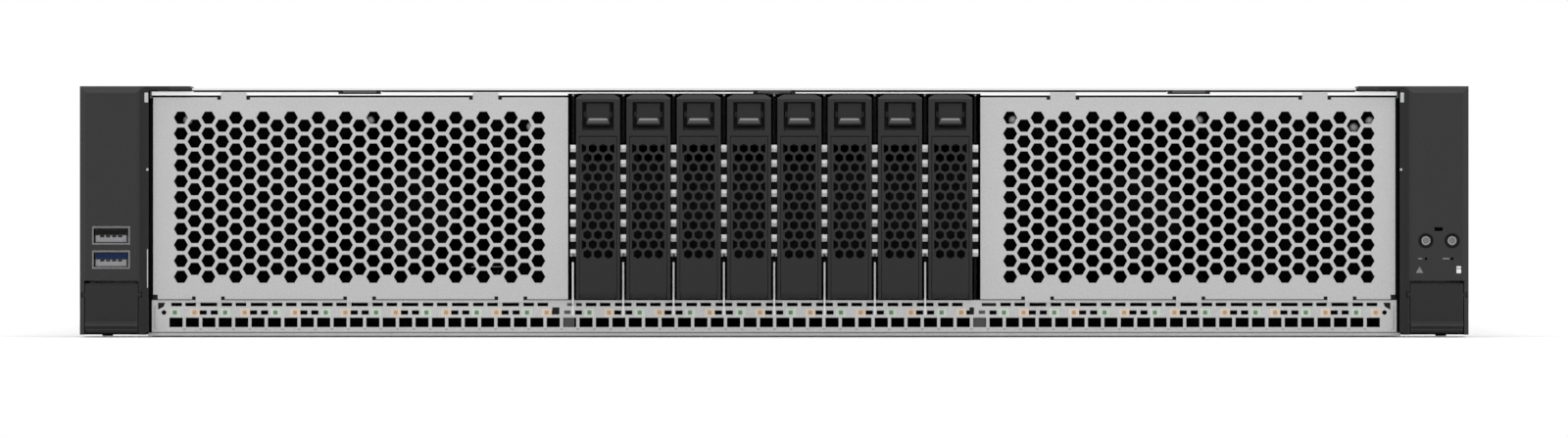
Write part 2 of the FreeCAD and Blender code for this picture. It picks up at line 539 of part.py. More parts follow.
# Drive carrier: frame with two rails, swing lever with its mesh, release latch
def carrier(place):
    number = place + 1
    centre = f"({place} - 3.5)*bay_pitch"
    half = "carrier_wide/2"
    frame = body_at(f"carrier_{number}", centre)
    top = [(f"-{half}", "carrier_low"), (half, "carrier_low"), (half, "carrier_high - shoulder_tall"),
           (f"{half} - shoulder_wide", "carrier_high"), (f"-{half} + shoulder_wide", "carrier_high"),
           (f"-{half}", "carrier_high - shoulder_tall")]
    pad(frame, "XZ", [top], CARRIER_FRONT, BEZEL_BACK)
    inner = f"({half} - cheek)"
    pocket(frame, "XZ", [rect(f"-{inner}", inner, "carrier_low - 1", "lever_top + 1.5*fit_gap")],
           f"{CARRIER_FRONT} - 1", f"{CARRIER_FRONT} + lever_thick + fit_gap")
    pocket(frame, "XZ", [rect(f"-{inner}", inner, "carrier_low + 7", "lever_top - 3")],
           f"{CARRIER_FRONT} - 1", f"{BEZEL_BACK} + 1")
    pocket(frame, "XZ", [rect("-latch_wide/2", "latch_wide/2", "latch_low", "latch_high")],
           f"{CARRIER_FRONT} - 1", f"{CARRIER_FRONT} + latch_deep")
    pocket(frame, "YZ", [("round", LEVER_PIVOT_Y, LEVER_PIVOT_Z, "pin_radius + pin_gap")],
           f"-{half} - 1", f"{half} + 1")
    pocket(frame, "YZ", [[(f"{CARRIER_FRONT} - 1", "carrier_high - 2.6"),
                          (f"{CARRIER_FRONT} + 2.2", "carrier_high + 0.6"),
                          (f"{CARRIER_FRONT} - 1", "carrier_high + 0.6")]], f"-{half} - 1", f"{half} + 1")
    pad(frame, "XZ", [rect("-rail_wide/2", "rail_wide/2", "carrier_low", "carrier_low + rail_gauge"),
                      rect("-rail_wide/2", "rail_wide/2", "carrier_high - rail_gauge", "carrier_high")],
        f"{BEZEL_BACK} - 1", f"{BEZEL_BACK} + rail_long")
    sill = [(f"{CARRIER_FRONT} + latch_deep + 0.5", "latch_low - 0.5"),
            (f"{CARRIER_FRONT} + 0.8", "latch_low - 0.5"),
            (f"{CARRIER_FRONT} + 0.8", "latch_low + 0.4"), (f"{CARRIER_FRONT} + 2.4", "latch_low + 1.7"),
            (f"{CARRIER_FRONT} + latch_deep + 0.5", "latch_low + 1.7")]
    pad(frame, "YZ", [sill], "-latch_wide/2 - 0.5", "latch_wide/2 + 0.5")
    node(frame, f"carrier_{number}")

    lever = body_at(f"lever_body_{number}", centre)
    pad(lever, "YZ", [rect(CARRIER_FRONT, f"{CARRIER_FRONT} + lever_thick", LEVER_PIVOT_Z, "lever_top")],
        f"-{LEVER_HALF}", LEVER_HALF)
    pad(lever, "YZ", [("round", LEVER_PIVOT_Y, LEVER_PIVOT_Z, LEVER_ROUND)], f"-{LEVER_HALF}", LEVER_HALF)
    pocket(lever, "XZ", [rect(f"-{LEVER_HALF} + 0.6", f"{LEVER_HALF} - 0.6",
                              f"{LEVER_PIVOT_Z} + 4", "lever_top - 1.4")],
           f"{CARRIER_FRONT} + lever_face", f"{CARRIER_FRONT} + lever_thick + 1")
    pad(lever, "YZ", [("round", LEVER_PIVOT_Y, LEVER_PIVOT_Z, "pin_radius")],
        f"-{LEVER_HALF} - 0.8*cheek", f"{LEVER_HALF} + 0.8*cheek")
    mesh = shaped(mesh_prisms(), f"mesh_{number}")
    mesh.setExpression("Placement.Base.x", bound(centre))
    node(joined("Part::Cut", (lever, mesh), f"carrier_lever_{number}"), f"carrier_lever_{number}")

    release = body_at(f"carrier_release_{number}", centre)
    edge = "(latch_wide/2 - grip_inset)"
    guide = "(latch_wide/2 - 0.5)"
    face = f"({CARRIER_FRONT} + 1.6)"
    pad(release, "XZ", [rect(f"-{edge}", edge, "latch_low + 2.2", "latch_high - 0.4")],
        face, f"{CARRIER_FRONT} + 3.6")
    pad(release, "XZ", [rect(f"-{guide}", guide, "latch_low + 5.0", "latch_low + 6.9")],
        f"{face} + 0.6", f"{CARRIER_FRONT} + 3.4")
    lip = [(f"-{edge} + 1.1", "latch_low + 4.8"), (f"-{edge} + 0.1", "latch_low + 2.8"),
           (f"{edge} - 0.1", "latch_low + 2.8"), (f"{edge} - 1.1", "latch_low + 4.8")]
    pad(release, "XZ", [lip], f"{CARRIER_FRONT} + 0.3", f"{face} + 0.2")
    slope = [(f"{CARRIER_FRONT} - 0.2", "latch_low + 3.5"), (f"{CARRIER_FRONT} + 1.5", "latch_low + 4.7"),
             (f"{CARRIER_FRONT} + 1.5", "latch_low + 5.0"), (f"{CARRIER_FRONT} - 0.2", "latch_low + 5.0")]
    pocket(release, "YZ", [slope], "-latch_wide", "latch_wide")
    node(release, f"carrier_release_{number}")


# Hexagon prisms that pierce the lever face; the outer ones are cut straight by the mesh border
def mesh_prisms():
    pitch = size("mesh_pitch")
    flats = size("mesh_flats")
    half = size("mesh_wide/2")
    low = size(CARRIER_FRONT) - 1
    deep = size("lever_thick") + 2
    radius = flats / math.sqrt(3)
    rows = int((size("lever_top") - 2.0 - size("mesh_low")) // size("mesh_row_pitch")) + 1
    reach = int(half // pitch) + 1
    prisms = []
    for row in range(rows):
        z = size("mesh_low") + row * size("mesh_row_pitch")
        shift = 0.5 if row % 2 else 0.0
        for column in range(-reach - 1, reach + 1):
            x = (column + shift) * pitch
            if abs(x) > half + 0.2:
                continue
            corners = []
            for step in range(6):
                angle = math.radians(60 * step + 30)
                corners.append((x + radius * math.cos(angle), z + radius * math.sin(angle)))
            if abs(x) + flats / 2 > half:
                way = 1 if x > 0 else -1
                inside = [spot for spot in corners if spot[0] * way < x * way + 0.01]
                top = max(inside, key=lambda spot: spot[1])
                bottom = min(inside, key=lambda spot: spot[1])
                drop = (half - abs(x)) * math.tan(math.radians(30)) if half > abs(x) else 0.0
                inner = [spot for spot in inside if spot not in (top, bottom)]
                inner.sort(key=lambda spot: spot[1])
                corners = [inner[0], bottom, (way * half, bottom[1] + drop),
                           (way * half, top[1] - drop), top, inner[1]]
                if drop < 0.001:
                    corners = [inner[0], bottom, top, inner[1]]
            wire = outline([Vector(u, low, v) for u, v in corners])
            prisms.append(Part.Face(wire).extrude(Vector(0, deep, 0)))
    return Part.makeCompound(prisms)


# Rack ears: hollow covers, hinged flaps, sockets, buttons and captive screws
def ear_cover(side, name):
    body = body_at(name)

    def span(low, high):
        return mirrored(side, low, high)

    def across(text):
        return text if side > 0 else f"-({text})"

    outer = "rack_width/2"
    corners = [("ear_inner", "-flange_gauge"), (outer, "-flange_gauge"), (outer, f"{EAR_FRONT} + 1.6"),
               (f"{outer} - 2.0", EAR_FRONT), ("ear_inner + 3.4", EAR_FRONT), ("ear_inner", f"{EAR_FRONT} + 2.0")]
    pad(body, "XY", [[(across(u), v) for u, v in corners]], "ear_low", "ear_high")
    bevel = [(f"{EAR_FRONT} - 1", "ear_high - 3.6"), (f"{EAR_FRONT} + 2.6", "ear_high + 0.8"),
             (f"{EAR_FRONT} - 1", "ear_high + 0.8")]
    pocket(body, "YZ", [bevel], *span("ear_inner - 1", f"{outer} + 1"))
    pocket(body, "XZ", [rect(*span("ear_inner + 1.8", f"{outer} - 1.8"), "ear_low + 1.0", "ear_high - 4.0")],
           f"{EAR_FRONT} + ear_skin", "0")
    pocket(body, "XZ", [rect(*span("flap_inner - 0.3", "flap_outer + 0.3"), "ear_low - 1", "flap_high + 0.9")],
           f"{EAR_FRONT} - 1", f"{EAR_FRONT} + 10")
    pocket(body, "YZ", [("round", FLAP_PIVOT_Y, "flap_pivot", "trunnion_radius + pin_gap")],
           *span("flap_inner - 1.4", "flap_outer + 1.4"))
    if side < 0:
        sockets = [rect(*span("usb_place - usb_wide/2 - pin_gap", "usb_place + usb_wide/2 + pin_gap"),
                        f"{place} - usb_tall/2 - pin_gap", f"{place} + usb_tall/2 + pin_gap")
                   for place in ("usb_high", "usb_low")]
        pocket(body, "XZ", sockets, f"{EAR_FRONT} - 1", f"{EAR_FRONT} + ear_skin + 1")
    else:
        places = ("id_button", "power_button")
        pocket(body, "XZ", [("round", place, "button_height", "button_radius*1.4") for place in places],
               f"{EAR_FRONT} - 1", f"{EAR_FRONT} + 0.8")
        holes = [("round", place, "button_height", "button_radius + button_gap") for place in places]
        holes += [("round", place, "button_height - 6.3", "0.5") for place in places]
        holes.append(rect("usb_place - 1.05", "usb_place + 1.85", "button_height + 3.3", "button_height + 4.7"))
        pocket(body, "XZ", holes, f"{EAR_FRONT} - 1", f"{EAR_FRONT} + ear_skin + 1")
    lug = rect(*span("ear_inner - 15.5", "ear_inner + 2"), f"{EAR_FRONT} + 2.8", "-flange_gauge")
    pad(body, "XY", [lug], f"{WALL_TOP} + 0.1", "ear_high")
    skirt = rect(*span(f"{WALL_INNER} + skirt_gap", "ear_inner + 1"), f"{EAR_FRONT} + 2", f"{WALL_FRONT} - 0.3")
    pad(body, "XY", [skirt], "steel_gauge + 0.2", f"{WALL_TOP} + 0.1")
    pad(body, "XY", [("round", across(RACK_HOLE), "-12", "1.9")], "0", "ear_low + 0.5")
    return node(body, name)


def ear_flap(side, name):
    body = body_at(name)
    profile = [(EAR_FRONT, "flap_high"), (f"{EAR_FRONT} + flap_thick", "flap_high"),
               (f"{EAR_FRONT} + flap_thick", "flap_low"), (f"{EAR_FRONT} + 1.2", "flap_low"),
               (f"{EAR_FRONT} + 0.8", "flap_low + 1.2"), (f"{EAR_FRONT} - 0.7", "flap_low + 2.9"),
               (EAR_FRONT, "flap_low + 3.9")]
    pad(body, "YZ", [profile], *mirrored(side, "flap_inner", "flap_outer"))
    pad(body, "YZ", [("round", FLAP_PIVOT_Y, "flap_pivot", "trunnion_radius")],
        *mirrored(side, "flap_inner - 1.1", "flap_outer + 1.1"))
    node(body, name)


def ear_fittings():
    screws = []
    for side in (-1, 1):
        place = f"{side}*{RACK_HOLE}"
        pieces = [rod("rack_head_radius", place, ("-flange_gauge - 10", "-flange_gauge - 5.5"),
                      "rack_hole_height"),
                  rod("rack_head_radius - 0.3", place, ("-flange_gauge - 5.5", "-flange_gauge"),
                      "rack_hole_height"),
                  rod("rack_screw_radius", place, ("-flange_gauge - 1", "12"), "rack_hole_height")]
        screws.append(joined("Part::MultiFuse", pieces, "rack_screw"))
    node(joined("Part::Compound", screws, "rack_screws"), "rack_screws")
    sockets = []
    for height in ("usb_high", "usb_low"):
        left = "(-usb_place - usb_wide/2)"
        right = "(-usb_place + usb_wide/2)"
        shell = box((left, right), (EAR_FRONT, f"{EAR_FRONT} + 16"),
                    (f"{height} - usb_tall/2", f"{height} + usb_tall/2"))
        hollow = box((f"{left} + 0.5", f"{right} - 0.5"), (f"{EAR_FRONT} - 1", f"{EAR_FRONT} + 15"),
                     (f"{height} - usb_tall/2 + 0.5", f"{height} + usb_tall/2 - 0.5"))
        tongue = box((f"{left} + 1.1", f"{right} - 1.1"), (f"{EAR_FRONT} + 0.8", f"{EAR_FRONT} + 15"),
                     (f"{height} + 0.2", f"{height} + 2.1"))
        sockets += [joined("Part::Cut", (shell, hollow), "usb_shell"), tongue]
    node(joined("Part::Compound", sockets, "usb_sockets"), "usb_sockets")
    for place in ("id_button", "power_button"):
        cap = rod("button_radius", place, (f"{EAR_FRONT} + 0.3", f"{EAR_FRONT} + ear_skin + 1"), "button_height")
        flange = rod("button_radius*1.5", place, (f"{EAR_FRONT} + ear_skin + 0.3", f"{EAR_FRONT} + ear_skin + 2"),
                     "button_height")
        node(joined("Part::MultiFuse", [cap, flange], place), place)


# Top cover: plate narrowed between the ears, side flanges, front hooks
def top_cover():
    body = body_at("top_cover")
    narrow = "(ear_inner - 16)"
    step = "2.0"
    corners = []
    for side in ("", "-"):
        half = [(f"{side}{narrow}", PANEL_BACK), (f"{side}{narrow}", step), (f"{side}{COVER_HALF}", step),
                (f"{side}{COVER_HALF}", REAR_FACE)]
        corners += half if side == "" else half[::-1]
    pad(body, "XY", [corners], WALL_TOP, "chassis_height")
    sides = [rect(f"{COVER_HALF} - cover_gauge", COVER_HALF, step, REAR_FACE),
             rect(f"-{COVER_HALF}", f"-{COVER_HALF} + cover_gauge", step, REAR_FACE)]
    pad(body, "XY", sides, f"{WALL_TOP} - cover_flange", f"{WALL_TOP} + cover_gauge/2")
    hooks = [rect(f"{place} - 5.6", f"{place} + 5.6", PANEL_BACK, f"{FRAME_BACK} - 0.2")
             for place in ("-bay_group_pitch", "0", "bay_group_pitch")]
    pad(body, "XY", hooks, "header_low + 0.9", f"{WALL_TOP} + cover_gauge/2")
    node(body, "top_cover")


# Fans: bracket, housings with their struts, rotors with curved blades
def fan_places():
    pitch = size("fan_pitch")
    return [(step - 1.5) * pitch for step in range(4)]


def fans():
    bracket = body_at("fan_bracket")
    bores = [("round", f"({step} - 1.5)*fan_pitch", FAN_CENTRE, "fan_bore/2") for step in range(4)]
    pad(bracket, "XZ", [rect(f"-{WALL_INNER} + 0.3", f"{WALL_INNER} - 0.3", "steel_gauge", "header_low")] + bores,
        "fan_plane", FAN_FRONT)
    pad(bracket, "XY", [rect(f"-{WALL_INNER} + 0.3", f"{WALL_INNER} - 0.3",
                             "fan_plane", f"{FAN_FRONT} + fan_depth")],
        "steel_gauge", FAN_LOW)
    node(bracket, "fan_bracket")
    side = size("fan_size")
    deep = size("fan_depth")
    front = size(FAN_FRONT)
    middle = size(FAN_CENTRE)
    along = Vector(0, 1, 0)
    housing = Part.makeBox(side, deep, side, Vector(-side / 2, front, middle - side / 2))
    housing = housing.cut(Part.makeCylinder(size("fan_bore/2"), deep + 2, Vector(0, front - 1, middle), along))
    hub = Part.makeCylinder(size("hub_radius"), 3.0, Vector(0, front + deep - 3, middle), along)
    struts = []
    for step in range(4):
        strut = Part.makeBox(size("fan_bore/2") + 0.8, 3.0, 3.0, Vector(0, front + deep - 3, middle - 1.5))
        strut.rotate(Vector(0, front, middle), along, 45 + 90 * step)
        struts.append(strut)
    housing = housing.fuse([hub] + struts).removeSplitter()
    frames = [housing.translated(Vector(place, 0, 0)) for place in fan_places()]
    node(shaped(Part.makeCompound(frames), "fan_frames"), "fan_frames")
    rotor = fan_rotor()
    for number, place in enumerate(fan_places(), 1):
        spinner = shaped(rotor, f"fan_rotor_{number}")
        spinner.Placement = Placement(Vector(place, size(FAN_FRONT), size(FAN_CENTRE)), Rotation())
        node(spinner, f"fan_rotor_{number}")


def fan_rotor():
    along = Vector(0, 1, 0)
    hub_radius = size("hub_radius")
    tip = size("fan_bore/2 - blade_gap")
    deep = size("fan_depth - 3 - 0.4")
    hub = Part.makeCylinder(hub_radius, deep - 3, Vector(0, 3, 0), along)
    front_edges = [edge for edge in hub.Edges if edge.BoundBox.YMax < 3.01 and len(edge.Vertexes) == 1]
    hub = hub.makeFillet(2.0, front_edges)
    blades = []
    for step in range(7):
        sections = []
        for radius, sweep, lean in ((hub_radius - 1.5, 15.0, 6.0), (tip - 0.8, 16.0, 9.0)):
            low = Vector(-sweep / 2, 5.0, radius)
            high = Vector(sweep / 2, deep - 3.0, radius)
            bow = Vector(lean / 2 - 0.8, (deep + 2.0) / 2 - lean / 2, radius)
            thick = Vector(0.9, -0.9, 0)
            front = Part.Arc(low, bow, high).toShape()
            back = Part.Arc(high + thick, bow + thick, low + thick).toShape()
            ends = [Part.makeLine(high, high + thick), Part.makeLine(low + thick, low)]
            sections.append(Part.Wire([front, ends[0], back, ends[1]]))
        blade = Part.makeLoft(sections, True, True)
        blade.rotate(Vector(), along, 360 / 7 * step)
        blades.append(blade)
    return hub.fuse(blades)


# Main board with sockets, memory slots and the duct over them
def main_board():
    board = body_at("main_board")
    half = f"({WALL_INNER} - 2)"
    side = f"({CAGE_WALL} + panel_gauge + 2)"
    corners = [(f"-{half}", "board_front"), (half, "board_front"), (half, f"{REAR_INNER} - 1"),
               (side, f"{REAR_INNER} - 1"), (side, f"{SUPPLY_FRONT} - 6"), (f"-{half}", f"{SUPPLY_FRONT} - 6")]
    pad(board, "XY", [corners], "board_low", BOARD_TOP)
    node(board, "main_board")
    top = size(BOARD_TOP)
    middle = size("socket_place")
    long = size("memory_long")
    pitch = size("memory_pitch")
    bank = int((size("wall_inner/2") - 44) // pitch)
    solids = []
    for centre in (-size(f"{WALL_INNER}/2"), size(f"{WALL_INNER}/2")):
        frame = Part.makeBox(64, 84, 4.5, Vector(centre - 32, middle - 42, top))
        frame = frame.cut(Part.makeBox(46, 60, 3, Vector(centre - 23, middle - 30, top + 2.5)))
        lid = Part.makeBox(44, 58, 5, Vector(centre - 22, middle - 29, top + 1))
        lid = lid.makeChamfer(1.5, [edge for edge in lid.Edges if edge.BoundBox.ZMin > top + 5.9])
        solids.append(frame.fuse(lid).removeSplitter())
        for way in (-1, 1):
            for step in range(bank):
                left = centre + way * (38 + step * pitch) - 3
                first = middle - long / 2
                profile = [(0, 0), (long, 0), (long, 17), (long - 6, 17), (long - 6, 7), (6, 7), (6, 17), (0, 17)]
                wire = outline([Vector(left, first + u, top + v) for u, v in profile])
                slot = Part.Face(wire).extrude(Vector(6, 0, 0))
                groove = Part.makeBox(1.6, long - 12, 5, Vector(left + 2.2, first + 6, top + 3))
                solids.append(slot.cut(groove))
    node(shaped(Part.makeCompound(solids), "board_sockets"), "board_sockets")
    duct = body_at("air_duct")
    wide = f"({WALL_INNER} - 8)"
    roof = "(header_low - 1)"
    corners = [(wide, BOARD_TOP), (wide, roof), (f"-{wide}", roof), (f"-{wide}", BOARD_TOP),
               (f"-{wide} + duct_wall", BOARD_TOP), (f"-{wide} + duct_wall", f"{roof} - duct_wall"),
               ("-duct_wall/2", f"{roof} - duct_wall"), ("-duct_wall/2", "40"), ("duct_wall/2", "40"),
               ("duct_wall/2", f"{roof} - duct_wall"), (f"{wide} - duct_wall", f"{roof} - duct_wall"),
               (f"{wide} - duct_wall", BOARD_TOP)]
    pad(duct, "XZ", [corners], "board_front + 2", "duct_back")
    scoop = [(f"{wide}", "40"), (f"{wide}", roof), (f"-{wide}", roof), (f"-{wide}", "40")]
    pad(duct, "XZ", [scoop], "duct_front", "board_front + 3")
    pocket(duct, "XZ", [rect(f"-{wide} + duct_wall", f"{wide} - duct_wall", "30", f"{roof} - duct_wall")],
           "duct_front - 1", "board_front + 2.5")
    step = [("duct_back - 70", f"{roof} + 1"), ("duct_back + 1", f"{roof} + 1"),
            ("duct_back + 1", f"{roof} - 0.8"),
            ("duct_back - 66", f"{roof} - 0.8")]
    pocket(duct, "YZ", [step], f"-{wide} + 12", f"{wide} - 12")
    node(duct, "air_duct")


# Rear: panel with its supply cage, ports, risers and slot covers
def riser_spans():
    second = "(riser_start + cover_long + riser_gap)"
    third = "(riser_start + 2*cover_long + 2*riser_gap)"
    count = int((size(WALL_TOP) - size("slot_low")) // size("slot_pitch"))
    return [("riser_start", "cover_long", count), (second, "cover_long", count),
            (third, "short_cover", count - 1)]


PORTS = [("screen", 4.0, 31.0, 12.5), ("network", 40.0, 16.0, 13.5), ("network", 59.0, 16.0, 13.5),
         ("usb", 80.0, 13.1, 6.3), ("usb", 97.0, 13.1, 6.3), ("service", 116.0, 16.0, 13.5)]


def port_spans():
    first = riser_spans()[0][0]
    return [(kind, f"({first} + {start})", f"({first} + {start + wide})", tall)
            for kind, start, wide, tall in PORTS]


def rear():
    panel = body_at("rear_panel")
    loops = [rect(f"-{WALL_INNER} + 0.1", f"{WALL_INNER} - 0.1",
                  "steel_gauge", f"{WALL_TOP} - steel_gauge - 0.1")]
    for low in (LOWER_SUPPLY, UPPER_SUPPLY):
        loops.append(rect(f"{SUPPLY_LEFT} - supply_gap/2", f"{SUPPLY_RIGHT} + supply_gap/2",
                          f"{low} - supply_gap/2", f"{low} + supply_tall + supply_gap/2"))
    for start, long, count in riser_spans():
        for step in range(count):
            low = f"slot_low + {step}*slot_pitch"
            loops.append(rect(f"{start} + 5", f"{start} + {long} - 5",
                              f"{low} + 2.4", f"{low} + cover_tall - 2.4"))
    for kind, left, right, tall in port_spans():
        loops.append(rect(f"{left} - pin_gap", f"{right} + pin_gap",
                          f"{BOARD_TOP} - pin_gap", f"{BOARD_TOP} + {tall} + pin_gap"))
    pad(panel, "XZ", loops, REAR_INNER, REAR_FACE)
    pad(panel, "YZ", [rect(SUPPLY_FRONT, f"{REAR_INNER} + 0.5",
                           "steel_gauge", f"{WALL_TOP} - steel_gauge - 0.1")],
        CAGE_WALL, f"{CAGE_WALL} + panel_gauge")
    pad(panel, "XY", [rect(f"-{WALL_INNER} + 0.1", f"{CAGE_WALL} + panel_gauge/2",
                           SUPPLY_FRONT, f"{REAR_INNER} + 0.5")],
        SHELF_LOW, f"{SHELF_LOW} + panel_gauge")
    node(panel, "rear_panel")

    ports = []
    for kind, left, right, tall in port_spans():
        z = (BOARD_TOP, f"{BOARD_TOP} + {tall}")
        shell = block((left, right), (f"{REAR_FACE} - 20", f"{REAR_FACE} + 0.6"), z)
        if kind == "screen":
            face = block((f"{left} + 5", f"{right} - 5"), (f"{REAR_FACE} - 1", f"{REAR_FACE} + 5.5"),
                         (f"{BOARD_TOP} + 2", f"{BOARD_TOP} + {tall} - 2"))
            spots = [point(f"{left} + {reach}", f"{REAR_FACE} + 0.2", f"{BOARD_TOP} + {tall / 2}")
                     for reach in (2.6, 28.4)]
            posts = [Part.makeCylinder(2.2, 5.0, spot, Vector(0, 1, 0)) for spot in spots]
            ports.append(shell.fuse([face] + posts).removeSplitter())
            continue
        edge = 0.5 if kind == "usb" else 2.0
        shell = shell.cut(block((f"{left} + {edge}", f"{right} - {edge}"),
                                (f"{REAR_FACE} - 14", f"{REAR_FACE} + 1"),
                                (f"{BOARD_TOP} + {edge}", f"{BOARD_TOP} + {tall - edge}")))
        if kind == "usb":
            tongue = block((f"{left} + 1.1", f"{right} - 1.1"), (f"{REAR_FACE} - 15", f"{REAR_FACE} - 0.4"),
                           (f"{BOARD_TOP} + {tall / 2 + 0.2}", f"{BOARD_TOP} + {tall / 2 + 2.1}"))
            shell = shell.fuse(tongue).removeSplitter()
        ports.append(shell)
    node(shaped(Part.makeCompound(ports), "rear_ports"), "rear_ports")

    covers, brackets, cards = [], [], []
    for start, long, count in riser_spans():
        for step in range(count):
            low = f"slot_low + {step}*slot_pitch"
            cover = block((start, f"{start} + {long}"), (f"{REAR_INNER} - 0.9", REAR_INNER),
                          (low, f"{low} + cover_tall"))
            wide = size(long) - 24
            holes = int(wide // 9)
            for hole in range(holes):
                left = f"{start} + 12 + {hole * wide / holes + 1.5}"
                cover = cover.cut(block((left, f"{left} + {wide / holes - 3}"),
                                        (f"{REAR_INNER} - 2", f"{REAR_INNER} + 1"),
                                        (f"{low} + 5", f"{low} + cover_tall - 5")))
            covers.append(cover)
        top = f"(slot_low + {count}*slot_pitch)"
        roof = block((start, f"{start} + {long}"), (f"{REAR_INNER} - 170", f"{REAR_INNER} - 0.9"),
                     (top, f"{top} + 1"))
        wall = block((f"{start} - 2", f"{start} - 1"), (f"{REAR_INNER} - 170", REAR_INNER),
                     ("slot_low", f"{top} + 1"))
        tie = block((f"{start} - 2", f"{start} + 0.5"), (f"{REAR_INNER} - 170", f"{REAR_INNER} - 0.9"),
                    (top, f"{top} + 1"))
        brackets.append(roof.fuse([wall, tie]).removeSplitter())
        card = block((f"{start} - 1", f"{start} + 0.6"), (f"{REAR_INNER} - 150", f"{REAR_INNER} - 40"),
                     (BOARD_TOP, f"{top} - 2"))
        ends = [block((f"{start} + 0.6", f"{start} + 11.6"), (f"{REAR_INNER} - 140", f"{REAR_INNER} - 51"),
                      (f"slot_low + {step}*slot_pitch + 5.5", f"slot_low + {step}*slot_pitch + 13"))
                for step in range(count)]
        cards.append(card.fuse(ends).removeSplitter())
    node(shaped(Part.makeCompound(covers), "slot_covers"), "slot_covers")
    node(shaped(Part.makeCompound(brackets), "riser_brackets"), "riser_brackets")
    node(shaped(Part.makeCompound(cards), "riser_cards"), "riser_cards")


# Power supply: case with inlet, fan opening and grip, and its release latch
def power_supply(low, name):
    case = body_at(name)
    pad(case, "XZ", [rect(SUPPLY_LEFT, SUPPLY_RIGHT, low, f"{low} + supply_tall")], SUPPLY_FRONT, SUPPLY_BACK)
    middle = f"({low} + supply_tall/2)"
    inlet = f"({SUPPLY_LEFT} + 15.5)"
    pocket(case, "XZ", [rect(f"{inlet} - 12", f"{inlet} + 12", f"{middle} - 8", f"{middle} + 8")],
           f"{SUPPLY_BACK} - 15", f"{SUPPLY_BACK} + 1")
    core = [(f"{inlet} - 7", f"{middle} + 2.2"), (f"{inlet}", f"{middle} - 1.8"),
            (f"{inlet} + 7", f"{middle} + 2.2")]
    pins = [rect(f"{u} - 1", f"{u} + 1", f"{v} - 2", f"{v} + 2") for u, v in core]
    pad(case, "XZ", pins, f"{SUPPLY_BACK} - 15.5", f"{SUPPLY_BACK} - 1")
    fan = f"({SUPPLY_LEFT} + 49)"
    vent = "(supply_tall/2 - supply_rim)"
    pocket(case, "XZ", [("round", fan, middle, vent)], f"{SUPPLY_BACK} - 8", f"{SUPPLY_BACK} + 1")
    bars = [rect(f"{fan} - {vent} - 0.4", f"{fan} + {vent} + 0.4",
                 f"{middle} + {shift} - 0.6", f"{middle} + {shift} + 0.6")
            for shift in (-9, 0, 9)]
    pad(case, "XZ", bars, f"{SUPPLY_BACK} - 2.2", f"{SUPPLY_BACK} - 0.8")
    grip = [(f"{SUPPLY_LEFT} + 30", f"{SUPPLY_BACK} - 1"), (f"{SUPPLY_LEFT} + 30", f"{SUPPLY_BACK} + 21"),
            (f"{SUPPLY_LEFT} + 33", f"{SUPPLY_BACK} + 24"), (f"{SUPPLY_LEFT} + 65", f"{SUPPLY_BACK} + 24"),
            (f"{SUPPLY_LEFT} + 68", f"{SUPPLY_BACK} + 21"), (f"{SUPPLY_LEFT} + 68", f"{SUPPLY_BACK} - 1"),
            (f"{SUPPLY_LEFT} + 66", f"{SUPPLY_BACK} - 1"), (f"{SUPPLY_LEFT} + 66", f"{SUPPLY_BACK} + 20.2"),
            (f"{SUPPLY_LEFT} + 64.2", f"{SUPPLY_BACK} + 22"), (f"{SUPPLY_LEFT} + 33.8", f"{SUPPLY_BACK} + 22"),
            (f"{SUPPLY_LEFT} + 32", f"{SUPPLY_BACK} + 20.2"), (f"{SUPPLY_LEFT} + 32", f"{SUPPLY_BACK} - 1")]
    pad(case, "XY", [grip], f"{middle} - 6", f"{middle} + 6")
    top = f"({low} + supply_tall - supply_rim)"
    pocket(case, "XZ", [rect(f"{SUPPLY_RIGHT} - 4.4", f"{SUPPLY_RIGHT} + 1", f"{top} - 8", top)],
           f"{SUPPLY_BACK} - 24", f"{SUPPLY_BACK} + 1")
    node(case, name)
    latch = body_at(f"{name}_latch")
    inner = f"({SUPPLY_RIGHT} - 1.4)"
    outer = f"({SUPPLY_RIGHT} - 0.2)"
    root = f"({SUPPLY_BACK} - 23)"
    tip = f"({SUPPLY_RIGHT} - 3.2)"
    arm = [(inner, root), (outer, root), (outer, f"{SUPPLY_BACK} + 9"), (tip, f"{SUPPLY_BACK} + 9"),
           (tip, f"{SUPPLY_BACK} + 7.6"), (inner, f"{SUPPLY_BACK} + 6")]
    pad(latch, "XY", [arm], f"{top} - 7.7", f"{top} - 0.3")
    pad(latch, "XY", [("round", f"({inner} + {outer})/2", root, "0.6")], f"{top} - 7.7", f"{top} - 0.3")
    node(latch, f"{name}_latch")


chassis_base()
bay_shelf()
vent_panel(-1, "left_vent_panel")
vent_panel(1, "right_vent_panel")
bay_inserts()
drive_cage()
contact_fingers()
drive_backplane()
for bay in range(8):
    carrier(bay)
for side, name in ((-1, "left"), (1, "right")):
    ear_cover(side, f"{name}_ear_cover")
    ear_flap(side, f"{name}_ear_flap")
ear_fittings()
top_cover()
fans()
main_board()
rear()
power_supply(LOWER_SUPPLY, "lower_supply")
power_supply(UPPER_SUPPLY, "upper_supply")
doc.recompute()

for obj in doc.Objects:
    if "Invalid" in obj.State or "Error" in obj.State:
        raise RuntimeError(f"{obj.Label} did not build: {obj.State}")
os.makedirs("parts", exist_ok=True)
for obj, name in NODES:
    if obj.Shape.isNull() or not obj.Shape.isValid():
        raise RuntimeError(f"{name} has no valid shape")
    obj.Shape.exportStep(f"parts/{name}.step")
    print(name, len(obj.Shape.Solids), round(obj.Shape.Volume, 1))
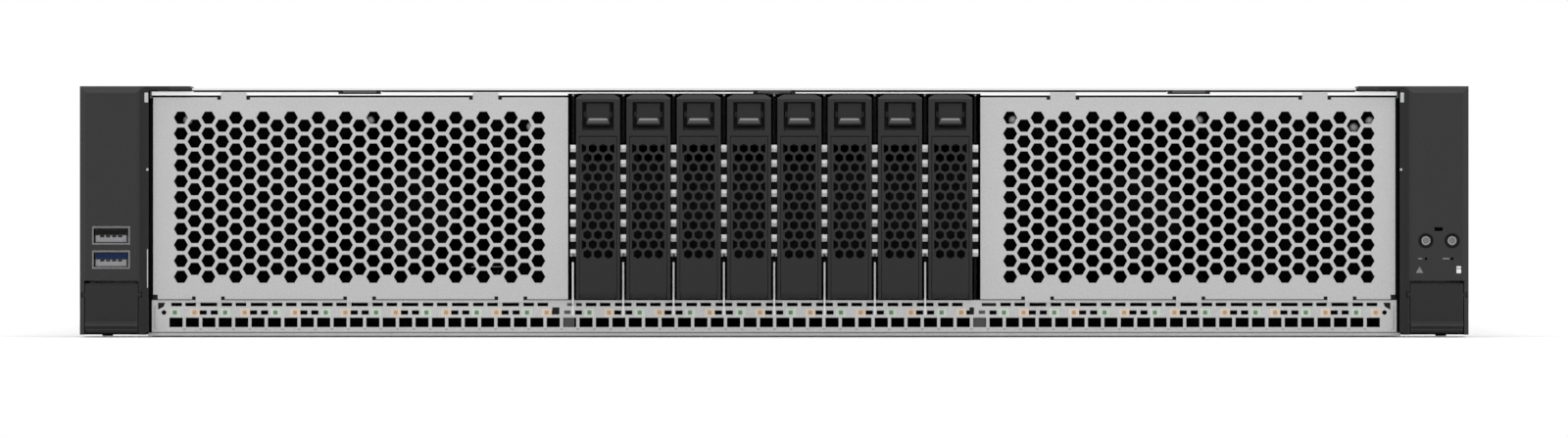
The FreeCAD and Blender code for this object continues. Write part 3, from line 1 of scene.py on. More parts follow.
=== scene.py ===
import json
import math
import bmesh
import bpy
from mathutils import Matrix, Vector

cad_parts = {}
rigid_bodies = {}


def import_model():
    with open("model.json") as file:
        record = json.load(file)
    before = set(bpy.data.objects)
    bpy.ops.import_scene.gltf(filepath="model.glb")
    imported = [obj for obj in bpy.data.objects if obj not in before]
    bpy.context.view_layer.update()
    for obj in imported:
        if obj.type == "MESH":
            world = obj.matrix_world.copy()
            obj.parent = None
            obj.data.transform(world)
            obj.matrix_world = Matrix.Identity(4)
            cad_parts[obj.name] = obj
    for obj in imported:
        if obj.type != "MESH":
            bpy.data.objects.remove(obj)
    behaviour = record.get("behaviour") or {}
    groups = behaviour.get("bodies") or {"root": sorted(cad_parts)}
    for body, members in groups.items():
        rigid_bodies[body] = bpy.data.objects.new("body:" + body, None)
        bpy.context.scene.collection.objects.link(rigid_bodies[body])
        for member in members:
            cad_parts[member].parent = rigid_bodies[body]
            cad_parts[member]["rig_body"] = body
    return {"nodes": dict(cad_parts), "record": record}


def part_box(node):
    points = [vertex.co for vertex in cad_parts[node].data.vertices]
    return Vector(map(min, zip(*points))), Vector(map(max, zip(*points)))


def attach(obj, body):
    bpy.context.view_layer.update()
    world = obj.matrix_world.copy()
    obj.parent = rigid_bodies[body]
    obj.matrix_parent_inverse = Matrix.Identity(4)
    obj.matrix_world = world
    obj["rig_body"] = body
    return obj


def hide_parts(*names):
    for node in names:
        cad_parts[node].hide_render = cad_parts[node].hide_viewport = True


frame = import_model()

nodes = frame["nodes"]
scene = bpy.context.scene
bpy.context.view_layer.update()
mm = 0.001
bevelShare = 0.45  # of a box's thinnest side, so that its bevels never meet
mergeDistance = 1e-7
weldDigits = 6
nodeStep = 190  # spacing of nodes in the editor
valueA, valueB = 2, 3  # value sockets of a Mix node
colourA, colourB, colourOut = 6, 7, 2  # its colour sockets
print("frame loaded:", len(nodes), "nodes")


# small tools
def addObject(name, data):
    obj = bpy.data.objects.new(name, data)
    scene.collection.objects.link(obj)
    return obj


def fromBmesh(name, bm, smooth=False):
    bmesh.ops.recalc_face_normals(bm, faces=bm.faces)
    data = bpy.data.meshes.new(name)
    bm.to_mesh(data)
    bm.free()
    data.polygons.foreach_set("use_smooth", [smooth] * len(data.polygons))
    return addObject(name, data)


def baked(obj):
    bpy.context.view_layer.update()
    graph = bpy.context.evaluated_depsgraph_get()
    shown = obj.evaluated_get(graph)
    data = bpy.data.meshes.new_from_object(shown, preserve_all_data_layers=True, depsgraph=graph)
    obj.modifiers.clear()
    obj.data = data
    return obj


def roundedBox(bm, low, high, radius, steps=2):
    verts = bmesh.ops.create_cube(bm, size=1.0)["verts"]
    low, high = Vector(low), Vector(high)
    radius = min(radius, bevelShare * min(high - low))
    bmesh.ops.scale(bm, vec=high - low, verts=verts)
    bmesh.ops.translate(bm, vec=(high + low) / 2, verts=verts)
    edges = list(dict.fromkeys(edge for vert in verts for edge in vert.link_edges))
    bmesh.ops.bevel(bm, geom=edges, offset=radius, segments=steps, affect="EDGES", profile=0.5,
                    clamp_overlap=True)


def boxInMm(bm, low, high, radius, steps=2):
    roundedBox(bm, [value * mm for value in low], [value * mm for value in high], radius * mm, steps)


def inMm(pairs):
    return [(first * mm, second * mm) for first, second in pairs]


def lathed(bm, profile, middle, axis, sides=32):
    spin = Vector((0, 0, 1)).rotation_difference(Vector(axis)).to_matrix()
    rings = []
    for radius, along in profile:
        ring = []
        for step in range(sides if radius > 0 else 1):
            turn = 2 * math.pi * step / sides
            away = Vector((radius * math.cos(turn), radius * math.sin(turn), along))
            ring.append(bm.verts.new(Vector(middle) + spin @ away))
        rings.append(ring)
    for first, second in zip(rings, rings[1:]):
        for step in range(sides):
            nextStep = (step + 1) % sides
            corners = [first[step % len(first)], first[nextStep % len(first)],
                       second[nextStep % len(second)], second[step % len(second)]]
            corners = list(dict.fromkeys(corners))
            if len(corners) > 2:
                bm.faces.new(corners)
    bmesh.ops.remove_doubles(bm, verts=bm.verts, dist=mergeDistance)


def prism(bm, corners, low, high, along=1):
    rings = []
    for level in (low, high):
        ring = []
        for u, v in corners:
            spot = [u, v]
            spot.insert(along, level)
            ring.append(bm.verts.new(spot))
        rings.append(ring)
    bm.faces.new(rings[0])
    bm.faces.new(rings[1][::-1])
    for step in range(len(corners)):
        nextStep = (step + 1) % len(corners)
        bm.faces.new([rings[0][step], rings[1][step], rings[1][nextStep], rings[0][nextStep]])


def islands(name):  # boxes of a node's separate solids, from left to right
    mesh = nodes[name].data
    spots, group = {}, {}
    keys = [tuple(round(c, weldDigits) for c in vert.co) for vert in mesh.vertices]
    index = [spots.setdefault(key, len(spots)) for key in keys]
    parent = list(range(len(spots)))

    def find(item):
        while parent[item] != item:
            parent[item] = parent[parent[item]]
            item = parent[item]
        return item

    for a, b in (edge.vertices for edge in mesh.edges):
        parent[find(index[a])] = find(index[b])
    for vert in mesh.vertices:
        group.setdefault(find(index[vert.index]), []).append(vert.co)
    boxes = []
    for coords in group.values():
        low = Vector([min(c[axis] for c in coords) for axis in range(3)])
        high = Vector([max(c[axis] for c in coords) for axis in range(3)])
        boxes.append((low, high))
    return sorted(boxes, key=lambda box: tuple(box[0]))


def onBody(obj, body, material):
    obj.data.materials.clear()
    obj.data.materials.append(material)
    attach(obj, body)


# shader groups
def put(tree, kind, place, props=None, inputs=None):
    item = tree.nodes.new(kind)
    item.location = (place[0] * nodeStep, -place[1] * nodeStep)
    for key, value in (props or {}).items():
        setattr(item, key, value)
    for key, value in (inputs or {}).items():
        item.inputs[key].default_value = value
    return item


def newGroup(name, inputs, outputs, kind="ShaderNodeTree"):
    tree = bpy.data.node_groups.new(name, kind)
    for label, socketKind, value in inputs:
        socket = tree.interface.new_socket(name=label, in_out="INPUT", socket_type=socketKind)
        if value is not None:
            socket.default_value = value
    for label, socketKind in outputs:
        tree.interface.new_socket(name=label, in_out="OUTPUT", socket_type=socketKind)
    return tree, put(tree, "NodeGroupInput", (-4, 0)), put(tree, "NodeGroupOutput", (5, 0))


def edgeGroup():  # rounded-edge normal and a mask of the edge line
    inputs = [("Radius", "NodeSocketFloat", 0.0002), ("Gain", "NodeSocketFloat", 3.0)]
    outputs = [("Normal", "NodeSocketVector"), ("Mask", "NodeSocketFloat")]
    tree, start, end = newGroup("roundedEdge", inputs, outputs)
    join = tree.links.new
    bevel = put(tree, "ShaderNodeBevel", (-2, 0), {"samples": 6})
    face = put(tree, "ShaderNodeNewGeometry", (-2, 1))
    dot = put(tree, "ShaderNodeVectorMath", (-1, 1), {"operation": "DOT_PRODUCT"})
    turn = put(tree, "ShaderNodeMath", (0, 1), {"operation": "SUBTRACT"}, {0: 1.0})
    gain = put(tree, "ShaderNodeMath", (1, 1), {"operation": "MULTIPLY", "use_clamp": True})
    join(start.outputs["Radius"], bevel.inputs["Radius"])
    join(bevel.outputs["Normal"], dot.inputs[0])
    join(face.outputs["Normal"], dot.inputs[1])
    join(dot.outputs["Value"], turn.inputs[1])
    join(turn.outputs[0], gain.inputs[0])
    join(start.outputs["Gain"], gain.inputs[1])
    join(bevel.outputs["Normal"], end.inputs["Normal"])
    join(gain.outputs[0], end.inputs["Mask"])
    return tree


def grainGroup():  # speckle of plated sheet or moulded skin
    inputs = [("Vector", "NodeSocketVector", None), ("Fine", "NodeSocketFloat", 1500.0),
              ("Patch", "NodeSocketFloat", 60.0), ("Patchy", "NodeSocketFloat", 0.3),
              ("Light", "NodeSocketColor", (1, 1, 1, 1)), ("Dark", "NodeSocketColor", (0, 0, 0, 1))]
    outputs = [("Color", "NodeSocketColor"), ("Height", "NodeSocketFloat"), ("Shift", "NodeSocketFloat")]
    tree, start, end = newGroup("surfaceGrain", inputs, outputs)
    join = tree.links.new
    fine = put(tree, "ShaderNodeTexNoise", (-2, 0), None, {"Detail": 3.0, "Roughness": 0.6})
    patch = put(tree, "ShaderNodeTexNoise", (-2, 1), None, {"Detail": 4.0, "Roughness": 0.55})
    mix = put(tree, "ShaderNodeMix", (-1, 0), {"data_type": "FLOAT"})
    spread = put(tree, "ShaderNodeMapRange", (0, 0), None, {"From Min": 0.3, "From Max": 0.7})
    tone = put(tree, "ShaderNodeMix", (1, 0), {"data_type": "RGBA"})
    for noise, socket in ((fine, "Fine"), (patch, "Patch")):
        join(start.outputs["Vector"], noise.inputs["Vector"])
        join(start.outputs[socket], noise.inputs["Scale"])
    join(start.outputs["Patchy"], mix.inputs[0])
    join(fine.outputs[0], mix.inputs[valueA])
    join(patch.outputs[0], mix.inputs[valueB])
    join(mix.outputs[0], spread.inputs["Value"])
    join(spread.outputs[0], tone.inputs[0])
    join(start.outputs["Dark"], tone.inputs[colourA])
    join(start.outputs["Light"], tone.inputs[colourB])
    join(tone.outputs[colourOut], end.inputs["Color"])
    join(fine.outputs[0], end.inputs["Height"])
    join(patch.outputs[0], end.inputs["Shift"])
    return tree


def zoneGroup():  # 1 inside a box of the part, fading to 0 outside it
    inputs = [("Vector", "NodeSocketVector", None), ("Low", "NodeSocketVector", (0, 0, 0)),
              ("High", "NodeSocketVector", (1, 1, 1)), ("Soft", "NodeSocketFloat", 0.0002)]
    tree, start, end = newGroup("partZone", inputs, [("Mask", "NodeSocketFloat")])
    join = tree.links.new
    worst = put(tree, "ShaderNodeVectorMath", (-1, 1), {"operation": "MINIMUM"})
    for row, (first, second, socket) in enumerate((("Vector", "Low", 0), ("High", "Vector", 1))):
        away = put(tree, "ShaderNodeVectorMath", (-2, row), {"operation": "SUBTRACT"})
        join(start.outputs[first], away.inputs[0])
        join(start.outputs[second], away.inputs[1])
        join(away.outputs[0], worst.inputs[socket])
    split = put(tree, "ShaderNodeSeparateXYZ", (0, 1))
    least = put(tree, "ShaderNodeMath", (1, 1), {"operation": "MINIMUM"})
    last = put(tree, "ShaderNodeMath", (2, 1), {"operation": "MINIMUM"})
    share = put(tree, "ShaderNodeMath", (3, 1), {"operation": "DIVIDE", "use_clamp": True})
    join(worst.outputs[0], split.inputs[0])
    join(split.outputs[0], least.inputs[0])
    join(split.outputs[1], least.inputs[1])
    join(least.outputs[0], last.inputs[0])
    join(split.outputs[2], last.inputs[1])
    join(last.outputs[0], share.inputs[0])
    join(start.outputs["Soft"], share.inputs[1])
    join(share.outputs[0], end.inputs["Mask"])
    return tree


grainDepth = 0.00003  # height of the bump in metal and plastic
edgeTree = edgeGroup()
grainTree = grainGroup()
zoneTree = zoneGroup()


def startMaterial(name):
    material = bpy.data.materials.new(name)
    material.use_nodes = True
    tree = material.node_tree
    tree.nodes.clear()
    shader = put(tree, "ShaderNodeBsdfPrincipled", (9, 0))
    end = put(tree, "ShaderNodeOutputMaterial", (11, 0))
    tree.links.new(shader.outputs[0], end.inputs[0])
    return material, tree, shader


def grainNode(tree, place, settings):
    return put(tree, "ShaderNodeGroup", place, {"node_tree": grainTree},
               {"Fine": settings["fine"], "Patch": settings["patch"], "Patchy": settings["patchy"],
                "Light": (*settings["light"], 1), "Dark": (*settings["dark"], 1)})


def spreadTo(tree, place, span):
    return put(tree, "ShaderNodeMapRange", place, None, {"To Min": span[0], "To Max": span[1]})


def spreadFrom(tree, place, span):
    return put(tree, "ShaderNodeMapRange", place, None, {"From Min": span[0], "From Max": span[1]})


def finishMaterial(name, settings):  # grain, zones, edge line and bump on one principled shader
    material, tree, shader = startMaterial(name)
    join = tree.links.new
    coords = put(tree, "ShaderNodeTexCoord", (-2, 1))
    stretch = put(tree, "ShaderNodeMapping", (-1, 1), None, {"Scale": settings.get("stretch", (1, 1, 1))})
    grain = grainNode(tree, (0, 1), settings)
    edge = put(tree, "ShaderNodeGroup", (0, 3), {"node_tree": edgeTree}, {"Radius": settings["edge"]})
    join(coords.outputs["Object"], stretch.inputs["Vector"])
    join(stretch.outputs[0], grain.inputs["Vector"])
    colour = grain.outputs["Color"]
    for step, (low, high, soft, shade) in enumerate(settings.get("zones", [])):
        box = put(tree, "ShaderNodeGroup", (1 + step, 5), {"node_tree": zoneTree},
                  {"Low": low, "High": high, "Soft": soft})
        blend = put(tree, "ShaderNodeMix", (2 + step, 0), {"data_type": "RGBA"}, {colourB: (*shade, 1)})
        join(coords.outputs["Object"], box.inputs["Vector"])
        join(box.outputs["Mask"], blend.inputs[0])
        join(colour, blend.inputs[colourA])
        colour = blend.outputs[colourOut]
    # the rim colour, blended in by the edge mask, is a painted highlight along the rounded edges
    tone = put(tree, "ShaderNodeMix", (7, 0), {"data_type": "RGBA"}, {colourB: (*settings["rimHighlight"], 1)})
    bump = put(tree, "ShaderNodeBump", (8, 3), None, {"Strength": settings["bump"], "Distance": grainDepth})
    rough = spreadTo(tree, (8, 1), settings["rough"])
    join(colour, tone.inputs[colourA])
    join(edge.outputs["Mask"], tone.inputs[0])
    join(tone.outputs[colourOut], shader.inputs["Base Color"])
    join(grain.outputs["Shift"], rough.inputs["Value"])
    join(rough.outputs[0], shader.inputs["Roughness"])
    join(edge.outputs["Normal"], bump.inputs["Normal"])
    join(grain.outputs["Height"], bump.inputs["Height"])
    join(bump.outputs[0], shader.inputs["Normal"])
    shader.inputs["Metallic"].default_value = settings["metal"]
    shader.inputs["Specular IOR Level"].default_value = settings.get("gloss", 0.5)
    return material


def grey(value):
    return (value, value, value)


def zone(low, high, shade, soft=0.0001):
    return low, high, soft, shade


def bothSides(low, high, shade, soft):  # the zone and its mirror across the width
    mirrorLow, mirrorHigh = (-high[0], *low[1:]), (-low[0], *high[1:])
    return [zone(mirrorLow, mirrorHigh, shade, soft), zone(low, high, shade, soft)]


# each finish's rim colour is a painted highlight along its rounded edges
zinc = {"light": (0.54, 0.545, 0.55), "dark": (0.43, 0.435, 0.44), "fine": 900, "patch": 40, "patchy": 0.4,
        "edge": 0.00018, "rimHighlight": grey(0.78), "bump": 0.12, "rough": (0.30, 0.48), "metal": 0.75}
plastic = {"light": (0.0155, 0.0155, 0.016), "dark": (0.009, 0.009, 0.0095), "fine": 2200, "patch": 50,
           "patchy": 0.3, "edge": 0.0003, "rimHighlight": grey(0.045), "bump": 0.22, "rough": (0.48, 0.62),
           "metal": 0.0, "gloss": 0.32}
finishes = {
    "zinc_steel": zinc,
    # near-black finish; on the fan bracket behind the vent holes, and on the seam strip, corner plates, slot
    # plates and pin holes below, it is painted shade
    "black_steel": {**plastic, "light": grey(0.006), "dark": grey(0.003), "rimHighlight": grey(0.012), "gloss": 0.2},
    "vent_steel": {"light": grey(0.575), "dark": grey(0.440), "fine": 2300, "patch": 55, "patchy": 0.15,
                   "edge": 0.00012, "rimHighlight": grey(0.86), "bump": 0.12, "rough": (0.38, 0.52), "metal": 0.4},
    "spring_steel": {"light": grey(0.66), "dark": (0.50, 0.50, 0.51), "fine": 700, "patch": 90, "patchy": 0.5,
                     "edge": 0.0001, "rimHighlight": grey(0.9), "bump": 0.05, "rough": (0.18, 0.32), "metal": 0.9},
    "light_guide": {"light": (0.55, 0.72, 0.52), "dark": (0.44, 0.60, 0.42), "fine": 600, "patch": 80,
                    "patchy": 0.5, "edge": 0.0001, "rimHighlight": (0.8, 0.88, 0.78), "bump": 0.03,
                    "rough": (0.2, 0.35), "metal": 0.0},
    "duct_plastic": {**plastic, "light": (0.010, 0.010, 0.011), "dark": (0.005, 0.005, 0.0055),
                     "gloss": 0.25},
    "fan_plastic": {**plastic, "edge": 0.0004, "patch": 60, "fine": 1600},
    "board": {"light": (0.012, 0.10, 0.035), "dark": (0.006, 0.055, 0.02), "fine": 260, "patch": 30,
              "patchy": 0.4, "edge": 0.0001, "rimHighlight": (0.25, 0.22, 0.10), "bump": 0.15, "rough": (0.25, 0.4),
              "metal": 0.0},
    "socket_plastic": {**plastic, "light": (0.03, 0.03, 0.032), "dark": (0.018, 0.018, 0.02), "edge": 0.0002},
    # ear_plastic zones: a darker strip on the inner bevel of each ear is painted shade, and a near-black band
    # just above each flap is a painted shadow in the gap
    "ear_plastic": {**plastic, "light": (0.024, 0.024, 0.025), "dark": (0.017, 0.017, 0.0175), "edge": 0.0004,
                    "zones": [*bothSides((0.21, -1, -1), (0.2209, 1, 1), grey(0.007), 0.0006),
                              *bothSides((0.2203, -1, 0.0184), (0.2402, 1, 0.0194), grey(0.002), 0.0003)]},
    "button_plastic": {"light": (0.32, 0.32, 0.325), "dark": (0.25, 0.25, 0.255), "fine": 1800, "patch": 80,
                       "patchy": 0.3, "edge": 0.0002, "rimHighlight": grey(0.45), "bump": 0.1, "rough": (0.35, 0.45),
                       "metal": 0.0},
    "carrier_plastic": plastic,
    "supply_steel": {**zinc, "stretch": (1, 1, 6), "metal": 0.8},
    "latch_plastic": {**plastic, "light": (0.02, 0.20, 0.06), "dark": (0.012, 0.13, 0.04),
                      "rimHighlight": (0.08, 0.35, 0.14), "edge": 0.0002, "gloss": 0.5},
}

# finishes of one node or a numbered family, most with a brighter or darker place: a painted highlight or
# painted shade, except a few zones in the part's own colour
wide = 0.3  # reach to each side of zones that span the whole width
hookPlaces = (-0.1442, 0.0, 0.1442)  # middles of the cover's front hooks
jackSpans = ((-0.0943, -0.0821), (-0.0753, -0.0631), (-0.0183, -0.0061))  # network and service sockets
usbSpans = ((-0.0558, -0.0435), (-0.0388, -0.0265))
supplyMiddles = (0.02135, 0.06265)  # middle heights of the two supplies
steel = finishes["spring_steel"]
zoned = {
    "chassis_base": {
        **zinc, "light": (0.48, 0.485, 0.49), "dark": (0.37, 0.375, 0.38), "patch": 120, "patchy": 0.45,
        # chassis_base zones: a near-white band on the header's front edge is a painted highlight; the black
        # bands beside the vent panels and the dark patches at the three hooks are painted shade in the gaps
        "zones": [zone((-wide, -0.0275, 0.0832), (wide, -0.0249, 0.0858), grey(0.93)),
                  *bothSides((0.2155, -0.03, 0.0013), (0.2185, -0.004, 0.083), grey(0.003), 0.0002),
                  *[zone((x - 0.0074, -0.03, 0.0842), (x + 0.0074, -0.0245, 0.0853), grey(0.02))
                    for x in hookPlaces]]},
    "top_cover": {
        **zinc, "light": (0.63, 0.635, 0.64), "dark": (0.51, 0.515, 0.52), "patch": 120, "patchy": 0.45,
        # top_cover zones: a pale band on the cover's front edge is a painted highlight, and the darker
        # patches on the three hook tabs are painted shade
        "zones": [zone((-wide, -0.027, 0.0856), (wide, -0.0258, 0.0866), grey(0.80)),
                  *[zone((x - 0.0077, -0.03, 0.0838), (x + 0.0077, -0.02, 0.0857), grey(0.075))
                    for x in hookPlaces]]},
    # bay_shelf zone: a thin dark line low on the strip, just above the rolled hem, is painted shade
    "bay_shelf": {**zinc, "light": grey(0.60), "dark": grey(0.45), "metal": 0.4, "fine": 1900,
                  "zones": [zone((-wide, -0.03, 0.0010), (wide, -0.0255, 0.0016), grey(0.05), 0.00012)]},
    # drive_cage zone: the front of the cage, up to the top of the bays, is painted near-black as shade
    "drive_cage": {**zinc, "zones": [zone((-wide, -0.04, 0), (wide, 0.02, 0.0838), grey(0.004), 0.0003)]},
    # contact_fingers zone: the strip behind the finger tips is painted near-black as shade between the
    # fingers
    "contact_fingers": {**steel, "zones": [zone((-wide, -0.0217, 0), (wide, 0, 0.1), grey(0.003), 0.0002)]},
    "usb_sockets": {
        **steel, "light": (0.20, 0.20, 0.205), "dark": (0.14, 0.14, 0.145),
        # usb_sockets zones: a near-black band in the upper opening of the socket is painted shade; the blue
        # of the tongue is its own colour
        "zones": [zone((-0.2362, -0.0316, 0.0351), (-0.2246, -0.0168, 0.0374), grey(0.008)),
                  zone((-0.2362, -0.0316, 0.0267), (-0.2246, -0.0168, 0.0290), (0.010, 0.020, 0.060))]},
    "left_ear_flap": {
        **plastic, "light": (0.013, 0.013, 0.0135), "dark": (0.009, 0.009, 0.0095),
        # ear flap zones: two lighter lines along the lower lip are painted highlights, and a near-black band
        # along the top is a painted shadow in the gap
        "zones": [zone((-wide, -1, 0.0037), (wide, -0.0318, 0.0041), grey(0.075)),
                  zone((-wide, -1, 0.0022), (wide, -0.0300, 0.0026), grey(0.045)),
                  zone((-wide, -1, 0.0178), (wide, 1, 0.02), grey(0.002), 0.0003)]},
    # carrier zone: a lighter line along the top of the front is a painted highlight on the top edge
    "carrier": {**plastic, "zones": [zone((-wide, -1, 0.0828), (wide, -0.0292, 0.0833), grey(0.05))]},
    "carrier_release": {
        **plastic,
        # carrier_release zones: a pale bar on the latch lip is a painted reflection of the light above, with
        # a fainter painted sheen just below it
        "zones": [zone((-wide, -1, 0.0738), (wide, -0.02802, 0.0752), grey(0.06), 0.0002),
                  zone((-wide, -1, 0.0751), (wide, -0.02802, 0.0759), grey(0.34))]},
    "rear_ports": {
        **steel, "light": (0.50, 0.50, 0.51), "dark": (0.40, 0.40, 0.41),
        "zones": [*[zone((left, 0.728, 0.0106), (right, 0.7434, 0.0205), grey(0.006))
                    for left, right in jackSpans],
                  *[zone((left, 0.728, 0.0093), (right, 0.7434, 0.0146), (0.010, 0.020, 0.060))
                    for left, right in usbSpans]]},
    "lower_supply": {
        **finishes["supply_steel"],
        "zones": [*[zone((-0.2125, 0.729, z - 0.0175), (-0.148, 0.7443, z + 0.0175), grey(0.006))
                    for z in supplyMiddles],
                  *[zone((-0.2085, 0.7299, z - 0.005), (-0.1905, 0.7436, z + 0.005), (0.72, 0.66, 0.50))
                    for z in supplyMiddles],
                  zone((-0.187, 0.7447, 0.0), (-0.145, 0.78, 0.1), grey(0.008))]},
    # drive_backplane: board colour darkened close to black as painted shade behind the carrier holes
    "drive_backplane": {**finishes["board"], "light": (0.004, 0.010, 0.006), "dark": (0.002, 0.006, 0.004)},
}
zoned["right_ear_flap"] = zoned["left_ear_flap"]
zoned["upper_supply"] = zoned["lower_supply"]
materials = {slot: finishMaterial(slot, settings) for slot, settings in finishes.items() if slot != "board"}
special = {family: finishMaterial(family + "Finish", settings) for family, settings in zoned.items()}


def boardMaterial(name, settings):  # solder mask with bundles of traces and tinned dots
    material, tree, shader = startMaterial(name)
    join = tree.links.new
    coords = put(tree, "ShaderNodeTexCoord", (-2, 0))
    ground = grainNode(tree, (0, 3), settings)
    areas = put(tree, "ShaderNodeTexVoronoi", (-1, 1), {"distance": "CHEBYCHEV"},
                {"Scale": settings["areas"]})
    choice = put(tree, "ShaderNodeMath", (0, 1), {"operation": "GREATER_THAN"}, {1: 0.5})
    pick = put(tree, "ShaderNodeMix", (2, 0), {"data_type": "FLOAT"})
    for row, (axis, socket) in enumerate((("X", valueA), ("Y", valueB))):
        wave = put(tree, "ShaderNodeTexWave", (0, row - 1), {"bands_direction": axis},
                   {"Scale": settings["lines"]})
        join(coords.outputs["Object"], wave.inputs["Vector"])
        join(wave.outputs["Fac"], pick.inputs[socket])
    lines = spreadFrom(tree, (3, 0), settings["lineEdge"])
    dots = put(tree, "ShaderNodeTexVoronoi", (1, 4), None, {"Scale": settings["dots"]})
    tinned = put(tree, "ShaderNodeMath", (2, 4), {"operation": "LESS_THAN"}, {1: settings["dot"]})
    traced = put(tree, "ShaderNodeMix", (4, 1), {"data_type": "RGBA"}, {colourB: (*settings["trace"], 1)})
    tone = put(tree, "ShaderNodeMix", (5, 1), {"data_type": "RGBA"}, {colourB: (*settings["tin"], 1)})
    bump = put(tree, "ShaderNodeBump", (6, 3), None,
               {"Strength": settings["bump"], "Distance": settings["depth"]})
    for texture in (areas, dots, ground):
        join(coords.outputs["Object"], texture.inputs["Vector"])
    split = put(tree, "ShaderNodeSeparateColor", (-1, 2))
    join(areas.outputs["Color"], split.inputs[0])
    join(split.outputs[0], choice.inputs[0])
    join(choice.outputs[0], pick.inputs[0])
    join(pick.outputs[0], lines.inputs["Value"])
    join(lines.outputs[0], traced.inputs[0])
    join(ground.outputs["Color"], traced.inputs[colourA])
    join(dots.outputs["Distance"], tinned.inputs[0])
    join(tinned.outputs[0], tone.inputs[0])
    join(traced.outputs[colourOut], tone.inputs[colourA])
    join(tone.outputs[colourOut], shader.inputs["Base Color"])
    join(lines.outputs[0], bump.inputs["Height"])
    join(bump.outputs[0], shader.inputs["Normal"])
    shader.inputs["Roughness"].default_value = settings["rough"][0]
    return material


boardSettings = {**finishes["board"], "areas": 45.0, "lines": 190.0, "lineEdge": (0.55, 0.75),
                 "depth": 0.00005, "dots": 120.0, "dot": 0.09, "trace": (0.016, 0.14, 0.05),
                 "tin": (0.30, 0.29, 0.20)}
materials["board"] = boardMaterial("board", boardSettings)
slots = {part["node"]: part["material_slot"] for part in frame["record"]["subparts"]}
for name, slot in slots.items():
    mesh = nodes[name].data
    mesh.materials.clear()
    mesh.materials.append(special.get(name.rstrip("_12345678"), materials[slot]))
print("finishes ready:", len(materials) + len(special))


# one geometry-nodes tool sets a part on every point
def scatterGroup():
    inputs = [("Geometry", "NodeSocketGeometry", None), ("Part", "NodeSocketObject", None),
              ("Finish", "NodeSocketMaterial", None)]
    tree, start, end = newGroup("scatterParts", inputs, [("Geometry", "NodeSocketGeometry")],
                                "GeometryNodeTree")
    join = tree.links.new
    points = put(tree, "GeometryNodeMeshToPoints", (-2, 0))
    part = put(tree, "GeometryNodeObjectInfo", (-2, 1))
    copies = put(tree, "GeometryNodeInstanceOnPoints", (1, 0))
    real = put(tree, "GeometryNodeRealizeInstances", (2, 0))
    finish = put(tree, "GeometryNodeSetMaterial", (3, 0))
    join(start.outputs["Geometry"], points.inputs["Mesh"])
    join(start.outputs["Part"], part.inputs["Object"])
    join(points.outputs[0], copies.inputs["Points"])
    join(part.outputs["Geometry"], copies.inputs["Instance"])
    join(copies.outputs[0], real.inputs[0])
    join(real.outputs[0], finish.inputs["Geometry"])
    join(start.outputs["Finish"], finish.inputs["Material"])
    join(finish.outputs[0], end.inputs[0])
    return tree


scatterTree = scatterGroup()
scatterKeys = {item.name: item.identifier for item in scatterTree.interface.items_tree
               if item.in_out == "INPUT"}


def scatter(name, spots, part, finish):
    data = bpy.data.meshes.new(name)
    data.from_pydata([tuple(spot) for spot in spots], [], [])
    obj = addObject(name, data)
    tool = obj.modifiers.new("scatter", "NODES")
    tool.node_group = scatterTree
    tool[scatterKeys["Part"]] = part
    tool[scatterKeys["Finish"]] = finish
    baked(obj)
    bpy.data.objects.remove(part)
    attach(obj, "chassis")
    return obj


# drive lights: a square lens with a darker middle in a tinted flange, green then amber
lensSettings = {"edge": 0.2 * mm, "proud": 0.06 * mm, "deep": 1.5 * mm, "ring": (0.24, 0.40), "frost": 1500.0,
                "rough": (0.25, 0.45), "flange": (1.75 * mm, 0.03 * mm, 1.45 * mm), "flangeEdge": 0.02 * mm,
                "flangeDim": 0.88,
                "green": ((0.22, 0.32, 0.22), (0.11, 0.18, 0.12), (0.61, 0.69, 0.60)),
                "amber": ((0.56, 0.40, 0.26), (0.44, 0.29, 0.17), (0.73, 0.63, 0.54))}


def lensMaterial(name, pale, deep):
    material, tree, shader = startMaterial(name)
    join = tree.links.new
    place = put(tree, "ShaderNodeUVMap", (0, 0), {"uv_map": "lensMap"})
    away = put(tree, "ShaderNodeVectorMath", (1, 0), {"operation": "DISTANCE"}, {1: (0.5, 0.5, 0.0)})
    ring = spreadFrom(tree, (2, 0), lensSettings["ring"])
    coords = put(tree, "ShaderNodeTexCoord", (0, 2))
    frost = put(tree, "ShaderNodeTexNoise", (1, 2), None, {"Scale": lensSettings["frost"]})
    tone = put(tree, "ShaderNodeMix", (4, 0), {"data_type": "RGBA"},
               {colourA: (*deep, 1), colourB: (*pale, 1)})
    rough = spreadTo(tree, (4, 2), lensSettings["rough"])
    join(place.outputs[0], away.inputs[0])
    join(away.outputs["Value"], ring.inputs["Value"])
    join(ring.outputs[0], tone.inputs[0])
    join(tone.outputs[colourOut], shader.inputs["Base Color"])
    join(coords.outputs["Object"], frost.inputs["Vector"])
    join(frost.outputs[0], rough.inputs["Value"])
    join(rough.outputs[0], shader.inputs["Roughness"])
    return material


